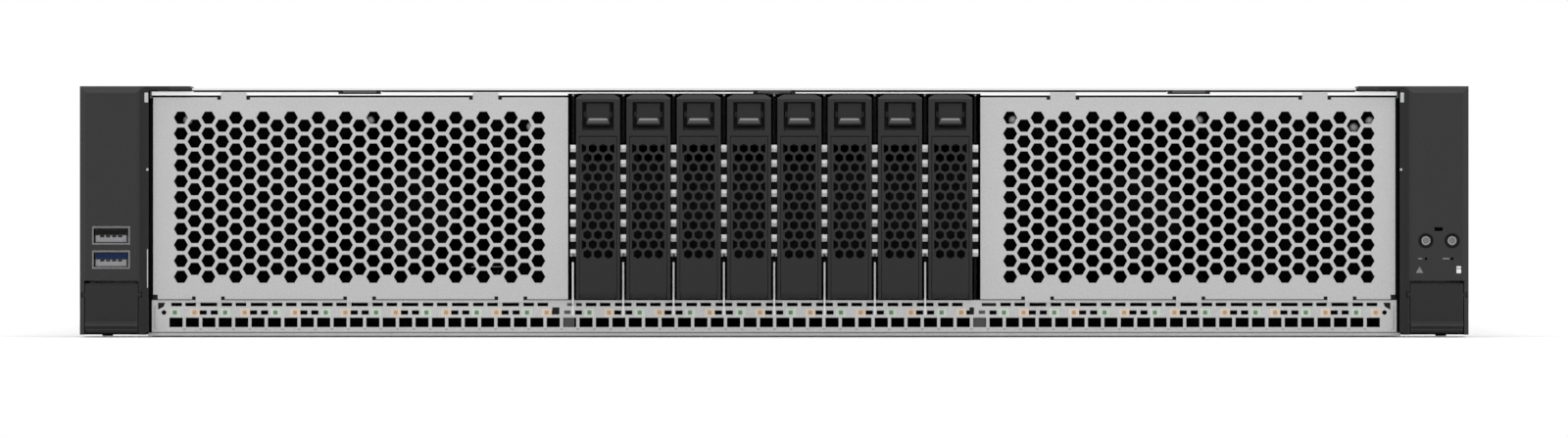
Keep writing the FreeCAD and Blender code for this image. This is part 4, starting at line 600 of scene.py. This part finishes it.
lightBoxes = islands("drive_light_guides")
lensSide = (lightBoxes[0][1] - lightBoxes[0][0]).x
lensRows = {"green": lightBoxes[0::2], "amber": lightBoxes[1::2]}
for shade, boxes in lensRows.items():
    pale, deep, tint = lensSettings[shade]
    spots = [((low.x + high.x) / 2, low.y, (low.z + high.z) / 2) for low, high in boxes]
    bm = bmesh.new()
    roundedBox(bm, (-lensSide / 2, -lensSettings["proud"], -lensSide / 2),
               (lensSide / 2, lensSettings["deep"], lensSide / 2), lensSettings["edge"])
    layer = bm.loops.layers.uv.new("lensMap")
    for face in bm.faces:
        for loop in face.loops:
            loop[layer].uv = (loop.vert.co.x / lensSide + 0.5, loop.vert.co.z / lensSide + 0.5)
    lens = fromBmesh(shade + "Lens", bm)
    row = scatter(shade + "Lenses", spots, lens, lensMaterial(shade + "Lens", pale, deep))
    if shade == "green":
        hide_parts("drive_light_guides")
    bm = bmesh.new()
    roundedBox(bm, -Vector(lensSettings["flange"]), lensSettings["flange"], lensSettings["flangeEdge"], 1)
    flange = fromBmesh(shade + "Flange", bm)
    dim = tuple(value * lensSettings["flangeDim"] for value in tint)
    tinted = {**finishes["light_guide"], "light": tint, "dark": dim, "rimHighlight": tint}
    scatter(shade + "Flanges", spots, flange, finishMaterial(shade + "Flange", tinted))
print("drive lights:", len(lightBoxes))

# black strip of painted shadow in the seam between the header and the cover, open at the three hooks
seamSettings = {"hooks": (-144.0, 0.0, 144.0), "clear": 7.4, "end": 202.0, "low": 84.95, "high": 85.52,
                "front": -26.15, "back": -22.0, "edge": 0.08}
bm = bmesh.new()
ends = [-seamSettings["end"]]
for place in seamSettings["hooks"]:
    ends += [place - seamSettings["clear"], place + seamSettings["clear"]]
ends.append(seamSettings["end"])
for left, right in zip(ends[0::2], ends[1::2]):
    boxInMm(bm, (left, seamSettings["front"], seamSettings["low"]),
            (right, seamSettings["back"], seamSettings["high"]), seamSettings["edge"])
onBody(fromBmesh("coverFoam", bm), "chassis", materials["black_steel"])

# rolled hem under the strip, and the small ticks of its bend, dark grey as painted shade
hemSettings = {"half": 215.6, "roll": 0.5, "front": -26.0, "squash": 0.8, "steps": 8,
               "tick": (0.475, 0.05, 0.17), "tickEdge": 0.02, "tickHigh": 2.5, "pitch": 5.705, "shift": 0.15,
               "count": 73, "tickFinish": {**zinc, "light": grey(0.16), "dark": grey(0.10), "metal": 0.2}}
corners = []
for step in range(hemSettings["steps"] + 1):
    turn = math.pi * step / hemSettings["steps"]
    corners.append((hemSettings["front"] - hemSettings["roll"] * hemSettings["squash"] * math.sin(turn),
                    hemSettings["roll"] * (1 - math.cos(turn))))
bm = bmesh.new()
prism(bm, inMm(corners), -hemSettings["half"] * mm, hemSettings["half"] * mm, along=0)
onBody(fromBmesh("hemRoll", bm), "chassis", nodes["chassis_base"].data.materials[0])
bm = bmesh.new()
boxInMm(bm, [-value for value in hemSettings["tick"]], hemSettings["tick"], hemSettings["tickEdge"], 1)
tick = fromBmesh("hemTick", bm)
first = hemSettings["shift"] - (hemSettings["count"] - 1) / 2 * hemSettings["pitch"]
spots = [((first + step * hemSettings["pitch"]) * mm, hemSettings["front"] * mm, hemSettings["tickHigh"] * mm)
         for step in range(hemSettings["count"])]
scatter("hemTicks", spots, tick, finishMaterial("tickShade", hemSettings["tickFinish"]))
print("front seam and hem ready")

# ends of the strip: a bent tongue and, beside it, a near-black corner plate of painted shade
endSettings = {"tongue": (214.5, 215.5), "tongueSpan": (2.4, 10.6), "tongueEdge": 0.3, "front": -26.3,
               "cornerFront": -26.04, "back": -25.9,
               "corner": ((214.3, 11.7), (211.9, 11.7), (212.4, 10.3), (214.3, 9.3))}
tongueMesh, cornerMesh = bmesh.new(), bmesh.new()
bottom, top = endSettings["tongueSpan"]
for side in (-1, 1):
    left, right = sorted(side * value for value in endSettings["tongue"])
    boxInMm(tongueMesh, (left, endSettings["front"], bottom), (right, endSettings["back"], top),
            endSettings["tongueEdge"])
    outline = inMm([(side * x, z) for x, z in endSettings["corner"]])
    prism(cornerMesh, outline, endSettings["cornerFront"] * mm, endSettings["back"] * mm)
onBody(fromBmesh("stripTongues", tongueMesh), "chassis", materials["zinc_steel"])
onBody(fromBmesh("stripCorners", cornerMesh), "chassis", materials["black_steel"])

# front sockets: a pale inner floor with four contact notches under each tongue
usbSettings = {"half": 5.35, "drop": 2.35, "notch": 0.75, "notchTall": 0.75,
               "places": (-3.1, -1.05, 1.05, 3.1), "front": -30.9, "deep": 1.2, "lift": 0.05,
               "leastTall": 4.0,
               "finish": {**zinc, "light": (0.30, 0.30, 0.31), "dark": (0.22, 0.22, 0.23), "metal": 0.2,
                          "rimHighlight": grey(0.55)}}
half, drop, notch, notchTall = (usbSettings[key] * mm for key in ("half", "drop", "notch", "notchTall"))
bm = bmesh.new()
for low, high in islands("usb_sockets"):
    if high.z - low.z < usbSettings["leastTall"] * mm:
        continue  # a tongue, not a shell
    middle, level = (low.x + high.x) / 2, (low.z + high.z) / 2 + usbSettings["lift"] * mm
    outline = [(middle - half, level), (middle - half, level - drop),
               (middle + half, level - drop), (middle + half, level)]
    for place in reversed(usbSettings["places"]):
        left, right = middle + place * mm - notch, middle + place * mm + notch
        outline += [(right, level), (right, level - notchTall), (left, level - notchTall), (left, level)]
    prism(bm, outline, usbSettings["front"] * mm, (usbSettings["front"] + usbSettings["deep"]) * mm)
onBody(fromBmesh("usbFloors", bm), "chassis", finishMaterial("usbFloor", usbSettings["finish"]))

# ear buttons: a near-black ring of painted shade round each cap, a raised ring and a dished middle
buttonSettings = {"well": ((1.78, 0.0), (1.9, 0.12), (2.5, 0.14), (2.62, 0.0), (1.78, 0.0)),
                  "ring": ((0.95, 0.0), (1.02, 0.14), (1.3, 0.22), (1.55, 0.16), (1.63, 0.0), (0.95, 0.0)),
                  "dish": ((0.0, 0.05), (0.6, 0.07), (0.94, 0.13), (0.98, 0.0), (0.0, 0.0)), "sides": 40,
                  "wellFinish": {**plastic, "light": grey(0.004), "dark": grey(0.002), "rimHighlight": grey(0.006),
                                 "gloss": 0.15},
                  "dishFinish": {**finishes["button_plastic"], "light": (0.14, 0.14, 0.145),
                                 "dark": (0.10, 0.10, 0.105)}}
buttonShadowRing = finishMaterial("buttonShadowRing", buttonSettings["wellFinish"])
buttonDish = finishMaterial("buttonDish", buttonSettings["dishFinish"])
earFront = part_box("right_ear_cover")[0].y
for name in ("id_button", "power_button"):
    low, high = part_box(name)
    cap = nodes[name]["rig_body"]
    for part, level, body, finish in (("well", earFront, "chassis", buttonShadowRing),
                                      ("ring", low.y, cap, materials["button_plastic"]),
                                      ("dish", low.y, cap, buttonDish)):
        bm = bmesh.new()
        middle = ((low.x + high.x) / 2, level, (low.z + high.z) / 2)
        lathed(bm, inMm(buttonSettings[part]), middle, (0, -1, 0), buttonSettings["sides"])
        onBody(fromBmesh(name + "_" + part, bm, smooth=True), body, finish)

# indicator windows in the right ear
clearLens = {"light": grey(0.40), "dark": grey(0.32), "fine": 900, "patch": 120, "patchy": 0.4,
             "edge": 0.0001, "rimHighlight": grey(0.55), "bump": 0.03, "rough": (0.2, 0.35), "metal": 0.0}
windowSettings = {"triangle": (224.2, 22.1, 2.5, 2.2), "proud": 0.06, "deep": 0.4,
                  "dashes": ((233.35, 27.05, 2.3, 0.5), (224.4, 27.05, 1.4, 0.45)), "dashEdge": 0.05,
                  "tablet": (237.8, 0.88, ((21.9, 23.55), (23.65, 24.5))), "tabletEdge": 0.35,
                  "finish": {**clearLens, "light": grey(0.20), "dark": grey(0.15)},
                  "tabletFinish": {**clearLens, "light": grey(0.80), "dark": grey(0.70)}}
front, back = earFront / mm - windowSettings["proud"], earFront / mm + windowSettings["deep"]
bm = bmesh.new()
x, z, wideBase, tall = windowSettings["triangle"]
prism(bm, inMm([(x - wideBase / 2, z), (x + wideBase / 2, z), (x, z + tall)]), front * mm, back * mm)
for x, z, wideDash, tall in windowSettings["dashes"]:
    boxInMm(bm, (x - wideDash / 2, front, z - tall / 2), (x + wideDash / 2, back, z + tall / 2),
            windowSettings["dashEdge"])
statusWindow = finishMaterial("statusWindow", windowSettings["finish"])
onBody(fromBmesh("statusWindows", bm), "chassis", statusWindow)
bm = bmesh.new()
x, half, spans = windowSettings["tablet"]
for low, high in spans:
    boxInMm(bm, (x - half, front, low), (x + half, back, high), windowSettings["tabletEdge"], 3)
statusTablet = finishMaterial("statusTablet", windowSettings["tabletFinish"])
onBody(fromBmesh("statusTablet", bm, smooth=True), "chassis", statusTablet)
print("ear details ready")

# clips and glints between the ears and the vent panels
clipSettings = {"clip": (217.55, 219.0, 81.3, 84.8), "clipEdge": 0.25, "pin": (217.9, -30.0, 58.0),
                "pinProfile": ((0.0, 0.2), (0.35, 0.15), (0.5, 0.0), (0.5, -0.6), (0.0, -0.6)), "sides": 16,
                "spring": (-218.05, -217.6, 16.8, 30.4), "springEdge": 0.2, "front": -30.25, "back": -29.6}
front, back = clipSettings["front"], clipSettings["back"]
x, y, z = (value * mm for value in clipSettings["pin"])
bm = bmesh.new()
for side in (-1, 1):  # round pins before the boxes, so that the faces keep their order
    lathed(bm, inMm(clipSettings["pinProfile"]), (side * x, y, z), (0, -1, 0), clipSettings["sides"])
near, far, bottom, top = clipSettings["clip"]
for side in (-1, 1):
    left, right = sorted((side * near, side * far))
    boxInMm(bm, (left, front, bottom), (right, back, top), clipSettings["clipEdge"])
left, right, bottom, top = clipSettings["spring"]
boxInMm(bm, (left, front, bottom), (right, back, top), clipSettings["springEdge"])
onBody(fromBmesh("earClips", bm), "chassis", materials["zinc_steel"])

# studs on the back of the vent panels, seen through the top row of holes, their metal darkened as painted
# shade
studSettings = {"places": ((-204.0, 75.2), (-140.6, 75.0), (-84.6, 73.0), (83.2, 75.2), (147.6, 75.2),
                           (201.6, 72.6), (207.2, 74.8)), "back": -26.0, "sides": 16,
                "profile": ((0.0, 3.2), (1.0, 3.1), (1.5, 2.6), (1.6, 0.0), (0.0, 0.0)),
                "finish": {**zinc, "light": grey(0.26), "dark": grey(0.18)}}
bm = bmesh.new()
lathed(bm, inMm(studSettings["profile"]), (0, 0, 0), (0, 1, 0), studSettings["sides"])
stud = fromBmesh("panelStud", bm, smooth=True)
spots = [(x * mm, studSettings["back"] * mm, z * mm) for x, z in studSettings["places"]]
scatter("panelStuds", spots, stud, finishMaterial("studShade", studSettings["finish"]))
print("clips and studs ready")

# dark woven screens behind the slot covers
screenSettings = {"side": 7.0 * mm, "edge": 3.2 * mm, "thick": 0.4 * mm, "gap": 0.02 * mm, "soft": 0.1 * mm,
                  "pitch": 1.1 * mm, "waveStep": 0.31, "ground": grey(0.002), "wire": (0.035, 0.035, 0.036),
                  "bump": 0.5, "rough": 0.5}  # waveStep: one wave at scale 1


def screenMaterial(name):  # crossed wires on a dark ground
    material, tree, shader = startMaterial(name)
    join = tree.links.new
    coords = put(tree, "ShaderNodeTexCoord", (-1, 0))
    weave = put(tree, "ShaderNodeMath", (3, 0), {"operation": "MAXIMUM"})
    scale = screenSettings["waveStep"] / screenSettings["pitch"]
    for row, axis in enumerate(("X", "Z")):
        wave = put(tree, "ShaderNodeTexWave", (1, row), {"bands_direction": axis}, {"Scale": scale})
        join(coords.outputs["Object"], wave.inputs["Vector"])
        join(wave.outputs["Fac"], weave.inputs[row])
    tone = put(tree, "ShaderNodeMix", (4, 0), {"data_type": "RGBA"},
               {colourA: (*screenSettings["ground"], 1), colourB: (*screenSettings["wire"], 1)})
    bump = put(tree, "ShaderNodeBump", (5, 2), None,
               {"Strength": screenSettings["bump"], "Distance": screenSettings["soft"]})
    join(weave.outputs[0], tone.inputs[0])
    join(weave.outputs[0], bump.inputs["Height"])
    join(tone.outputs[colourOut], shader.inputs["Base Color"])
    join(bump.outputs[0], shader.inputs["Normal"])
    shader.inputs["Roughness"].default_value = screenSettings["rough"]
    return material


slotBoxes = islands("slot_covers")
side, edge = screenSettings["side"], screenSettings["edge"]
bm = bmesh.new()
for low, high in slotBoxes:
    back = low.y - screenSettings["gap"]
    roundedBox(bm, (low.x + side, back - screenSettings["thick"], low.z + edge),
               (high.x - side, back, high.z - edge), screenSettings["soft"], 1)
onBody(fromBmesh("slotScreens", bm), "chassis", screenMaterial("slotScreen"))

# wire guards over the fans of the supplies
guardSettings = {"x": -166.1, "level": 743.6, "rings": (4.5, 9.0, 13.5), "wire": 0.55, "wireSides": 8,
                 "sides": 40}
for body, z in zip(("lower_supply", "upper_supply"), supplyMiddles):
    bm = bmesh.new()
    for ring in guardSettings["rings"]:
        loop = []
        for step in range(guardSettings["wireSides"] + 1):
            turn = 2 * math.pi * step / guardSettings["wireSides"]
            loop.append((ring + guardSettings["wire"] * math.cos(turn),
                         guardSettings["wire"] * math.sin(turn)))
        middle = (guardSettings["x"] * mm, guardSettings["level"] * mm, z)
        lathed(bm, inMm(loop), middle, (0, 1, 0), guardSettings["sides"])
    onBody(fromBmesh(body + "_guard", bm, smooth=True), body, materials["spring_steel"])

# screws and rivets
screwSettings = {"screw": ((0.0, 0.35), (0.85, 0.35), (0.95, 1.15), (1.5, 1.2), (2.3, 0.75), (2.6, 0.25),
                           (2.6, -0.4), (0.0, -0.4)),
                 "rivet": ((0.0, 0.55), (0.9, 0.5), (1.6, 0.25), (2.0, 0.0), (2.0, -0.3), (0.0, -0.3)),
                 "sides": 18, "inset": 2.4, "standoffWide": 10.0, "sideFace": 217.8,
                 "rear": ((206.0, 76.0), (206.0, 9.0), (56.0, 12.0)), "rivetY": (14, 30, 716, 732),
                 "rivetZ": (14, 58), "finish": {"screw": "spring_steel", "rivet": "zinc_steel"}}


def fastener(name, profile, axis):
    bm = bmesh.new()
    lathed(bm, inMm(profile), (0, 0, 0), axis, screwSettings["sides"])
    return fromBmesh(name, bm, smooth=True)


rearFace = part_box("rear_panel")[1].y
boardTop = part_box("main_board")[1].z
standoffs = [(low + high) / 2 for low, high in islands("chassis_base")
             if high.x - low.x < screwSettings["standoffWide"] * mm]
slotSpots = [(high.x - screwSettings["inset"] * mm, rearFace, (low.z + high.z) / 2)
             for low, high in slotBoxes]
rearSpots = [(x * mm, rearFace, z * mm) for x, z in screwSettings["rear"]]
rivetSpots = [(screwSettings["sideFace"] * mm, y * mm, z * mm)
              for y in screwSettings["rivetY"] for z in screwSettings["rivetZ"]]
screwRows = {
    "slotScrews": ("screw", (0, 1, 0), slotSpots),
    "boardScrews": ("screw", (0, 0, 1), [(spot.x, spot.y, boardTop) for spot in standoffs]),
    "rearScrews": ("screw", (0, 1, 0), rearSpots),
    "leftRivets": ("rivet", (-1, 0, 0), [(-x, y, z) for x, y, z in rivetSpots]),
    "rightRivets": ("rivet", (1, 0, 0), rivetSpots),
}
for name, (kind, axis, spots) in screwRows.items():
    slot = screwSettings["finish"][kind]
    scatter(name, spots, fastener(name + "One", screwSettings[kind], axis), materials[slot])

# screen connector face with its pin holes
pinSettings = {"middle": (-116.7, 15.05), "face": 748.5, "sunk": 0.1, "thick": 0.25, "topHalf": 8.6,
               "footHalf": 7.8, "tall": 3.1, "rows": 3, "columns": 5, "pitch": 2.3, "rowPitch": 1.9,
               "stagger": 0.25, "hole": ((0.0, 0.06), (0.5, 0.05), (0.5, -0.1), (0.0, -0.1)),
               "finish": {**plastic, "light": (0.010, 0.022, 0.10), "dark": (0.007, 0.015, 0.07)}}
middleX, middleZ = pinSettings["middle"]
face = pinSettings["face"] + pinSettings["thick"]
outline = [(middleX + side * pinSettings[key], middleZ + rise * pinSettings["tall"])
           for side, key, rise in ((-1, "footHalf", -1), (1, "footHalf", -1),
                                   (1, "topHalf", 1), (-1, "topHalf", 1))]
bm = bmesh.new()
prism(bm, inMm(outline), (pinSettings["face"] - pinSettings["sunk"]) * mm, face * mm)
screenBlue = finishMaterial("screenBlue", pinSettings["finish"])
onBody(fromBmesh("screenInsert", bm), "chassis", screenBlue)
spots = []
for row in range(pinSettings["rows"]):
    z = middleZ + (row - (pinSettings["rows"] - 1) / 2) * pinSettings["rowPitch"]
    for column in range(pinSettings["columns"]):
        step = column - (pinSettings["columns"] - 1) / 2 + pinSettings["stagger"] * (row % 2)
        spots.append(((middleX + step * pinSettings["pitch"]) * mm, face * mm, z * mm))
pinHole = fastener("screenPinHole", pinSettings["hole"], (0, 1, 0))
# the pin holes are shallow dimples painted near-black as shade
scatter("screenPinHoles", spots, pinHole, materials["black_steel"])

# spring contacts in the rear sockets
contactSettings = {"count": 8, "pitch": 1.02, "half": 0.225, "y": (731.0, 741.0), "z": (18.9, 19.3),
                   "edge": 0.1, "finish": {**steel, "light": (0.80, 0.58, 0.22), "dark": (0.66, 0.46, 0.16)}}
(front, back), (bottom, top) = contactSettings["y"], contactSettings["z"]
bm = bmesh.new()
for left, right in jackSpans:
    for number in range(contactSettings["count"]):
        x = (left + right) / 2 / mm + (number - (contactSettings["count"] - 1) / 2) * contactSettings["pitch"]
        boxInMm(bm, (x - contactSettings["half"], front, bottom), (x + contactSettings["half"], back, top),
                contactSettings["edge"], 1)
gilt = finishMaterial("contactGilt", contactSettings["finish"])
onBody(fromBmesh("socketContacts", bm), "chassis", gilt)
print("rear, screws and rivets ready")

# pale plates on the front edges of the bay dividers, down over the strip: a painted highlight
noseSettings = {"pitch": 17.5 * mm, "half": 0.31 * mm, "near": 0.15 * mm, "edge": 0.03 * mm,
                "thick": 0.12 * mm, "footThick": 0.06 * mm, "foot": 7.4 * mm,
                "finish": {**finishes["vent_steel"], "light": grey(0.82), "dark": grey(0.73)}}
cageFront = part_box("drive_cage")[0].y
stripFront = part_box("bay_shelf")[0].y
noses = {}
for vertex in nodes["drive_cage"].data.vertices:
    if vertex.co.y < cageFront + noseSettings["near"]:
        noses.setdefault(round(vertex.co.x / noseSettings["pitch"]), []).append(vertex.co)
bm = bmesh.new()
for corners in noses.values():
    x = (min(co.x for co in corners) + max(co.x for co in corners)) / 2
    bottom, top = min(co.z for co in corners), max(co.z for co in corners)
    for front, thick, low, high in ((cageFront, noseSettings["thick"], bottom, top),
                                    (stripFront, noseSettings["footThick"], noseSettings["foot"], bottom)):
        roundedBox(bm, (x - noseSettings["half"], front - thick, low),
                   (x + noseSettings["half"], front + noseSettings["near"], high), noseSettings["edge"], 1)
noseHighlight = finishMaterial("noseHighlight", noseSettings["finish"])
onBody(fromBmesh("dividerEdges", bm), "chassis", noseHighlight)
print("divider edges ready:", len(noses))

# the strip where the drive bays end: more slots as near-black and dark grey plates of painted shade, some
# with grey metal close behind, darkened as painted shade
gapSettings = {"dark": ((72.2, 77.2, 10.5, 11.6), (-68.9, -66.9, 10.5, 11.6), (67.9, 69.5, 7.7, 10.1),
                        (-77.2, -74.7, 7.8, 10.1)),
               "faint": ((71.1, 73.4, 7.75, 9.05), (-73.1, -70.8, 7.75, 9.05), (-72.1, -69.9, 10.5, 11.6)),
               "behind": ((68.9, 73.8, 3.0, 6.8), (-73.8, -69.6, 3.0, 6.8)),
               "depth": {"dark": (-0.04, 0.06), "faint": (-0.04, 0.06), "behind": (1.1, 1.5)}, "edge": 0.02,
               "finish": {**zinc, "light": grey(0.072), "dark": grey(0.046), "metal": 0.0}}
paintedShadeGrey = finishMaterial("paintedShadeGrey", gapSettings["finish"])
gapFinish = {"dark": materials["black_steel"], "faint": paintedShadeGrey, "behind": paintedShadeGrey}
for kind, finish in gapFinish.items():
    near, far = (stripFront / mm + depth for depth in gapSettings["depth"][kind])
    bm = bmesh.new()
    for left, right, bottom, top in gapSettings[kind]:
        boxInMm(bm, (left, near, bottom), (right, far, top), gapSettings["edge"], 1)
    onBody(fromBmesh("gapSlots_" + kind, bm), "chassis", finish)
print("strip gaps ready")

# stage, light and camera
stageSettings = {"size": 1.6, "drop": -0.0003, "noise": 6.0, "tone": (0.965, 0.975), "rough": 0.9,
                 "gloss": 0.0, "world": 0.86, "seen": 1.0}
bm = bmesh.new()
bmesh.ops.create_grid(bm, x_segments=1, y_segments=1, size=stageSettings["size"])
bmesh.ops.translate(bm, vec=(0, 0, stageSettings["drop"]), verts=bm.verts)
floor = fromBmesh("studioFloor", bm)
floorMaterial, floorTree, floorShader = startMaterial("studioFloor")
floorNoise = put(floorTree, "ShaderNodeTexNoise", (2, 1), None, {"Scale": stageSettings["noise"]})
floorTone = spreadTo(floorTree, (3, 1), stageSettings["tone"])
floorTree.links.new(floorNoise.outputs[0], floorTone.inputs["Value"])
floorTree.links.new(floorTone.outputs[0], floorShader.inputs["Base Color"])
floorShader.inputs["Roughness"].default_value = stageSettings["rough"]
floorShader.inputs["Specular IOR Level"].default_value = stageSettings["gloss"]
floor.data.materials.append(floorMaterial)

world = bpy.data.worlds.new("studio")
scene.world = world
world.use_nodes = True
sky = world.node_tree
sky.nodes.clear()
white = (*grey(1), 1)
skyEnd = put(sky, "ShaderNodeOutputWorld", (3, 0))
skyShow = put(sky, "ShaderNodeBackground", (1, 0), None,
              {"Color": white, "Strength": stageSettings["seen"]})
skyLight = put(sky, "ShaderNodeBackground", (1, 1), None,
               {"Color": white, "Strength": stageSettings["world"]})
skyMix = put(sky, "ShaderNodeMixShader", (2, 0))
skyPath = put(sky, "ShaderNodeLightPath", (0, -1))
skySeen = skyPath.outputs["Is Camera Ray"]
for row, ray in enumerate(("Is Glossy Ray", "Is Transmission Ray")):
    either = put(sky, "ShaderNodeMath", (row + 1, -2), {"operation": "MAXIMUM"})
    sky.links.new(skySeen, either.inputs[0])
    sky.links.new(skyPath.outputs[ray], either.inputs[1])
    skySeen = either.outputs[0]
sky.links.new(skySeen, skyMix.inputs[0])
sky.links.new(skyLight.outputs[0], skyMix.inputs[1])
sky.links.new(skyShow.outputs[0], skyMix.inputs[2])
sky.links.new(skyMix.outputs[0], skyEnd.inputs[0])

lampSettings = {"place": (0.0, -0.2, 2.6), "aim": (0, -0.2, 0), "size": (4.0, 4.0), "power": 40}
lampData = bpy.data.lights.new("topSoft", "AREA")
lampData.shape = "RECTANGLE"
lampData.size, lampData.size_y = lampSettings["size"]
lampData.energy = lampSettings["power"]
lamp = addObject("topSoft", lampData)
lamp.location = lampSettings["place"]
lampAim = Vector(lampSettings["aim"]) - Vector(lampSettings["place"])
lamp.rotation_euler = lampAim.to_track_quat("-Z", "Y").to_euler()

cameraSettings = {"distance": 4.5, "width": 0.5453, "aim": (0.0034, 0.041), "face": -0.027, "sensor": 36.0,
                  "farthest": 100.0}
cameraData = bpy.data.cameras.new("photoCamera")
camera = addObject("photoCamera", cameraData)
aimX, aimZ = cameraSettings["aim"]
camera.location = (aimX, cameraSettings["face"] - cameraSettings["distance"], aimZ)
camera.rotation_euler = (math.pi / 2, 0, 0)
cameraData.sensor_width = cameraSettings["sensor"]
cameraData.lens = cameraSettings["sensor"] * cameraSettings["distance"] / cameraSettings["width"]
cameraData.clip_end = cameraSettings["farthest"]
scene.camera = camera
scene.view_settings.view_transform = "Standard"
print("stage and camera ready")
